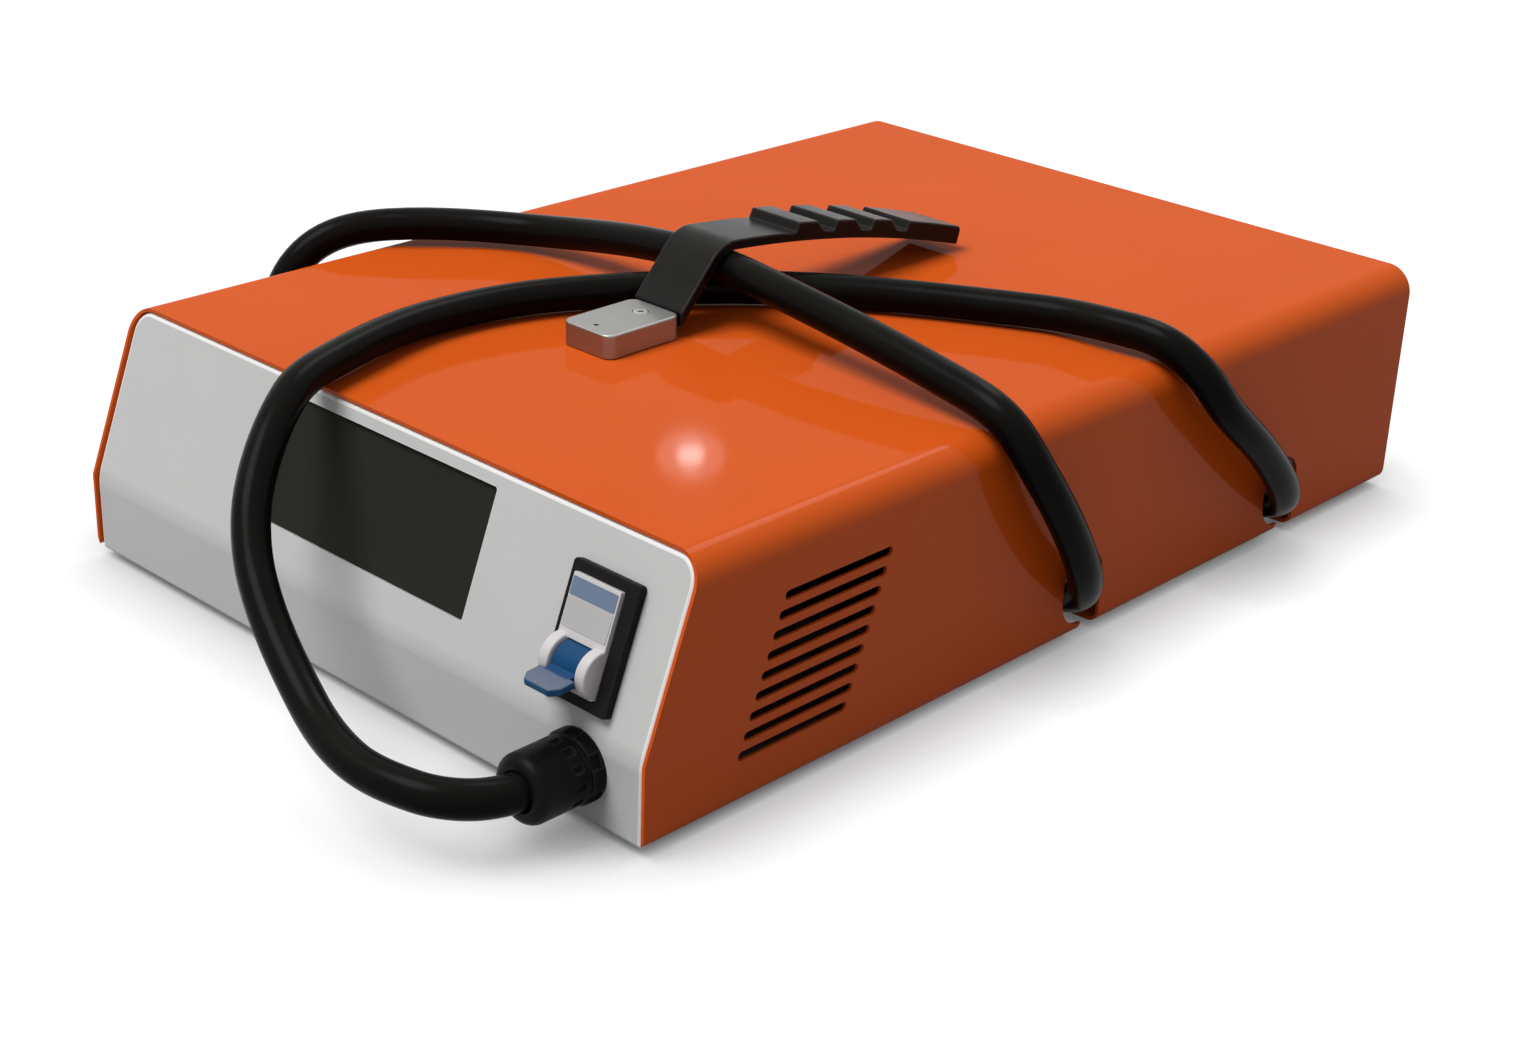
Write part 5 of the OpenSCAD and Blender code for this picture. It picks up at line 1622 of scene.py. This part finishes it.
@dataclass
class Studio:
    """Pale floor, soft lights and the camera at the photograph's angle."""

    case: Case
    lens: float = 59.01
    sensor: float = 36.0
    view_end: float = 50.0
    azimuth: float = 42.823
    elevation: float = 24.438
    roll: float = 2.218
    distance: float = 1207.3 * MM
    aim: Place = (31.9 * MM, 228 * MM, 19.8 * MM)
    white: float = 1.0
    ambient: float = 0.3
    floor_size: float = 40.0
    floor_light: float = 0.22
    floor_rough: float = 0.9
    floor_glow: float = 0.93
    floor_bounce: float = 0.25
    # Reach and steepness of the painted contact shadow that ambient occlusion puts into the floor's glow.
    painted_shadow_reach: float = 0.062
    painted_shadow_power: float = 1.05
    sun_strength: float = 2.45
    sun_angle: float = 36.0
    sun_from: Place = (-0.14, -0.33, 0.7)
    sheens: tuple[Sheen, ...] = (
        Sheen("glint", (0.034, 0.022), 0.045, (-1.176, 1.138, 0.903), (0.1155, -0.174, 0.122)),
        Sheen("glint_halo", (0.085, 0.06), 0.05, (-1.18, 1.142, 0.906), (0.1155, -0.174, 0.122)),
        Sheen("bend_shine", (0.7, 1.3), 9.0, (-0.45, 1.25, 1.9), (0.18, -0.1, 0.12)))

    def _camera(self) -> None:
        """Places the camera."""
        a, e = math.radians(self.azimuth), math.radians(self.elevation)
        back = Vector((math.sin(a) * math.cos(e), -math.cos(a) * math.cos(e), math.sin(e)))
        right = UP.cross(back).normalized()
        up = back.cross(right)
        turn = math.radians(self.roll)
        side = right * math.cos(turn) + up * math.sin(turn)
        head = up * math.cos(turn) - right * math.sin(turn)
        target = Vector((self.aim[0], self.case.front_y + self.aim[1], self.case.low.z + self.aim[2]))
        place = target + back * self.distance
        data = bpy.data.cameras.new("camera")
        data.lens = self.lens
        data.sensor_width = self.sensor
        data.clip_end = self.view_end
        camera = bpy.data.objects.new("camera", data)
        camera.matrix_world = axes(side, head, back, place)
        bpy.context.scene.collection.objects.link(camera)
        bpy.context.scene.camera = camera

    @staticmethod
    def _show(tree: bpy.types.NodeTree, lit: bpy.types.Node, shown: bpy.types.Node, end: str) -> None:
        """Lets one shader light the scene and another show to the camera, in gloss and through glass.

        Args:
            tree: The tree.
            lit: The shader that lights the scene.
            shown: The shader that is seen.
            end: Name of the tree's output node.
        """
        path = tree.nodes.new("ShaderNodeLightPath").outputs
        seen = Nodes.calculate(tree, "MAXIMUM", path["Is Camera Ray"], path["Is Glossy Ray"])
        seen = Nodes.calculate(tree, "MAXIMUM", seen, path["Is Transmission Ray"])
        mix = tree.nodes.new("ShaderNodeMixShader")
        for slot, source in enumerate((seen, lit.outputs[0], shown.outputs[0])):
            tree.links.new(source, mix.inputs[slot])
        tree.links.new(mix.outputs[0], tree.nodes[end].inputs[0])

    def _world(self) -> None:
        """Sets a white backdrop and a soft ambient light."""
        world = bpy.data.worlds.new("studio")
        world.use_nodes = True
        bpy.context.scene.world = world
        tree = world.node_tree
        shown = tree.nodes.new("ShaderNodeBackground")
        base = tree.nodes["Background"]
        for shader, strength in ((base, self.ambient), (shown, self.white)):
            shader.inputs["Color"].default_value = (1, 1, 1, 1)
            shader.inputs["Strength"].default_value = strength
        self._show(tree, base, shown, "World Output")

    def _floor(self) -> None:
        """Lays a pale floor that keeps the object's shadow from the lamps, and glows with a painted contact
        shadow where ambient occlusion darkens the glow near the object.
        """
        Bench.clear()
        bpy.ops.mesh.primitive_plane_add(size=self.floor_size)
        floor = bpy.context.object
        floor.name = "studio_floor"
        material = bpy.data.materials.new("pale_floor")
        material.use_nodes = True
        tree = material.node_tree
        shader = tree.nodes["Principled BSDF"]
        shader.inputs["Base Color"].default_value = (*[self.floor_light] * 3, 1)
        shader.inputs["Roughness"].default_value = self.floor_rough
        shader.inputs["Specular IOR Level"].default_value = 0.0
        shader.inputs["Emission Strength"].default_value = self.floor_glow
        # Painted shadow: ambient occlusion darkens the floor's glow near the object.
        shade = tree.nodes.new("ShaderNodeAmbientOcclusion")
        shade.inputs["Distance"].default_value = self.painted_shadow_reach
        painted_floor_shadow = Nodes.calculate(tree, "POWER", shade.outputs["AO"], self.painted_shadow_power)
        tree.links.new(painted_floor_shadow, shader.inputs["Emission Color"])
        dim = tree.nodes.new("ShaderNodeBsdfDiffuse")
        dim.inputs["Color"].default_value = (*[self.floor_bounce] * 3, 1)
        self._show(tree, dim, shader, "Material Output")
        floor.data.materials.append(material)

    @staticmethod
    def _hang(data: bpy.types.Light, place: Sequence[float], aim: Sequence[float]) -> bpy.types.Object:
        """Puts a lamp in the scene.

        Args:
            data: The light.
            place: Where it stands.
            aim: What it points at.

        Returns:
            The lamp.
        """
        lamp = bpy.data.objects.new(data.name, data)
        lamp.location = place
        lamp.rotation_euler = (Vector(aim) - Vector(place)).to_track_quat("-Z", "Y").to_euler()
        bpy.context.scene.collection.objects.link(lamp)
        return lamp

    def _lamps(self) -> None:
        """Hangs the soft key light, the glint on the top and the shine along its bend."""
        key = bpy.data.lights.new("key", "SUN")
        key.energy = self.sun_strength
        key.angle = math.radians(self.sun_angle)
        self._hang(key, self.sun_from, (0, 0, 0))
        for sheen in self.sheens:
            data = bpy.data.lights.new(sheen.name, "AREA")
            data.shape = "ELLIPSE"
            data.size, data.size_y = sheen.size
            data.energy = sheen.watts
            self._hang(data, sheen.place, sheen.aim).visible_diffuse = False

    def build(self) -> None:
        """Sets the whole studio."""
        self._camera()
        self._world()
        self._floor()
        self._lamps()


def dress_nodes(shop: Shop, nodes: dict[str, bpy.types.Object]) -> None:
    """Gives each CAD node that still shows its finish.

    Args:
        shop: Materials and case.
        nodes: The frame's nodes by name.
    """
    for name, finish in NODE_FINISHES.items():
        obj = nodes[name]
        obj.data.materials.clear()
        obj.data.materials.append(shop.palette.get(finish))
        LOG.info("%s: %s", name, finish.name)


def main() -> None:
    """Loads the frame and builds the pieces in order."""
    logging.basicConfig(level=logging.INFO, format="%(name)s %(message)s")
    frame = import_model()
    bpy.context.scene.view_settings.view_transform = "Standard"
    case = Case()
    shop = Shop(Palette(), case)
    Studio(case).build()
    Lead(shop).build()
    Cover(shop).build()
    FrontPanel(shop).build()
    Breaker(shop).build()
    Gland(shop).build()
    Rear(shop).build()
    Strap(shop).build()
    dress_nodes(shop, frame["nodes"])
    Bench.clear()


if __name__ == "__main__":
    main()
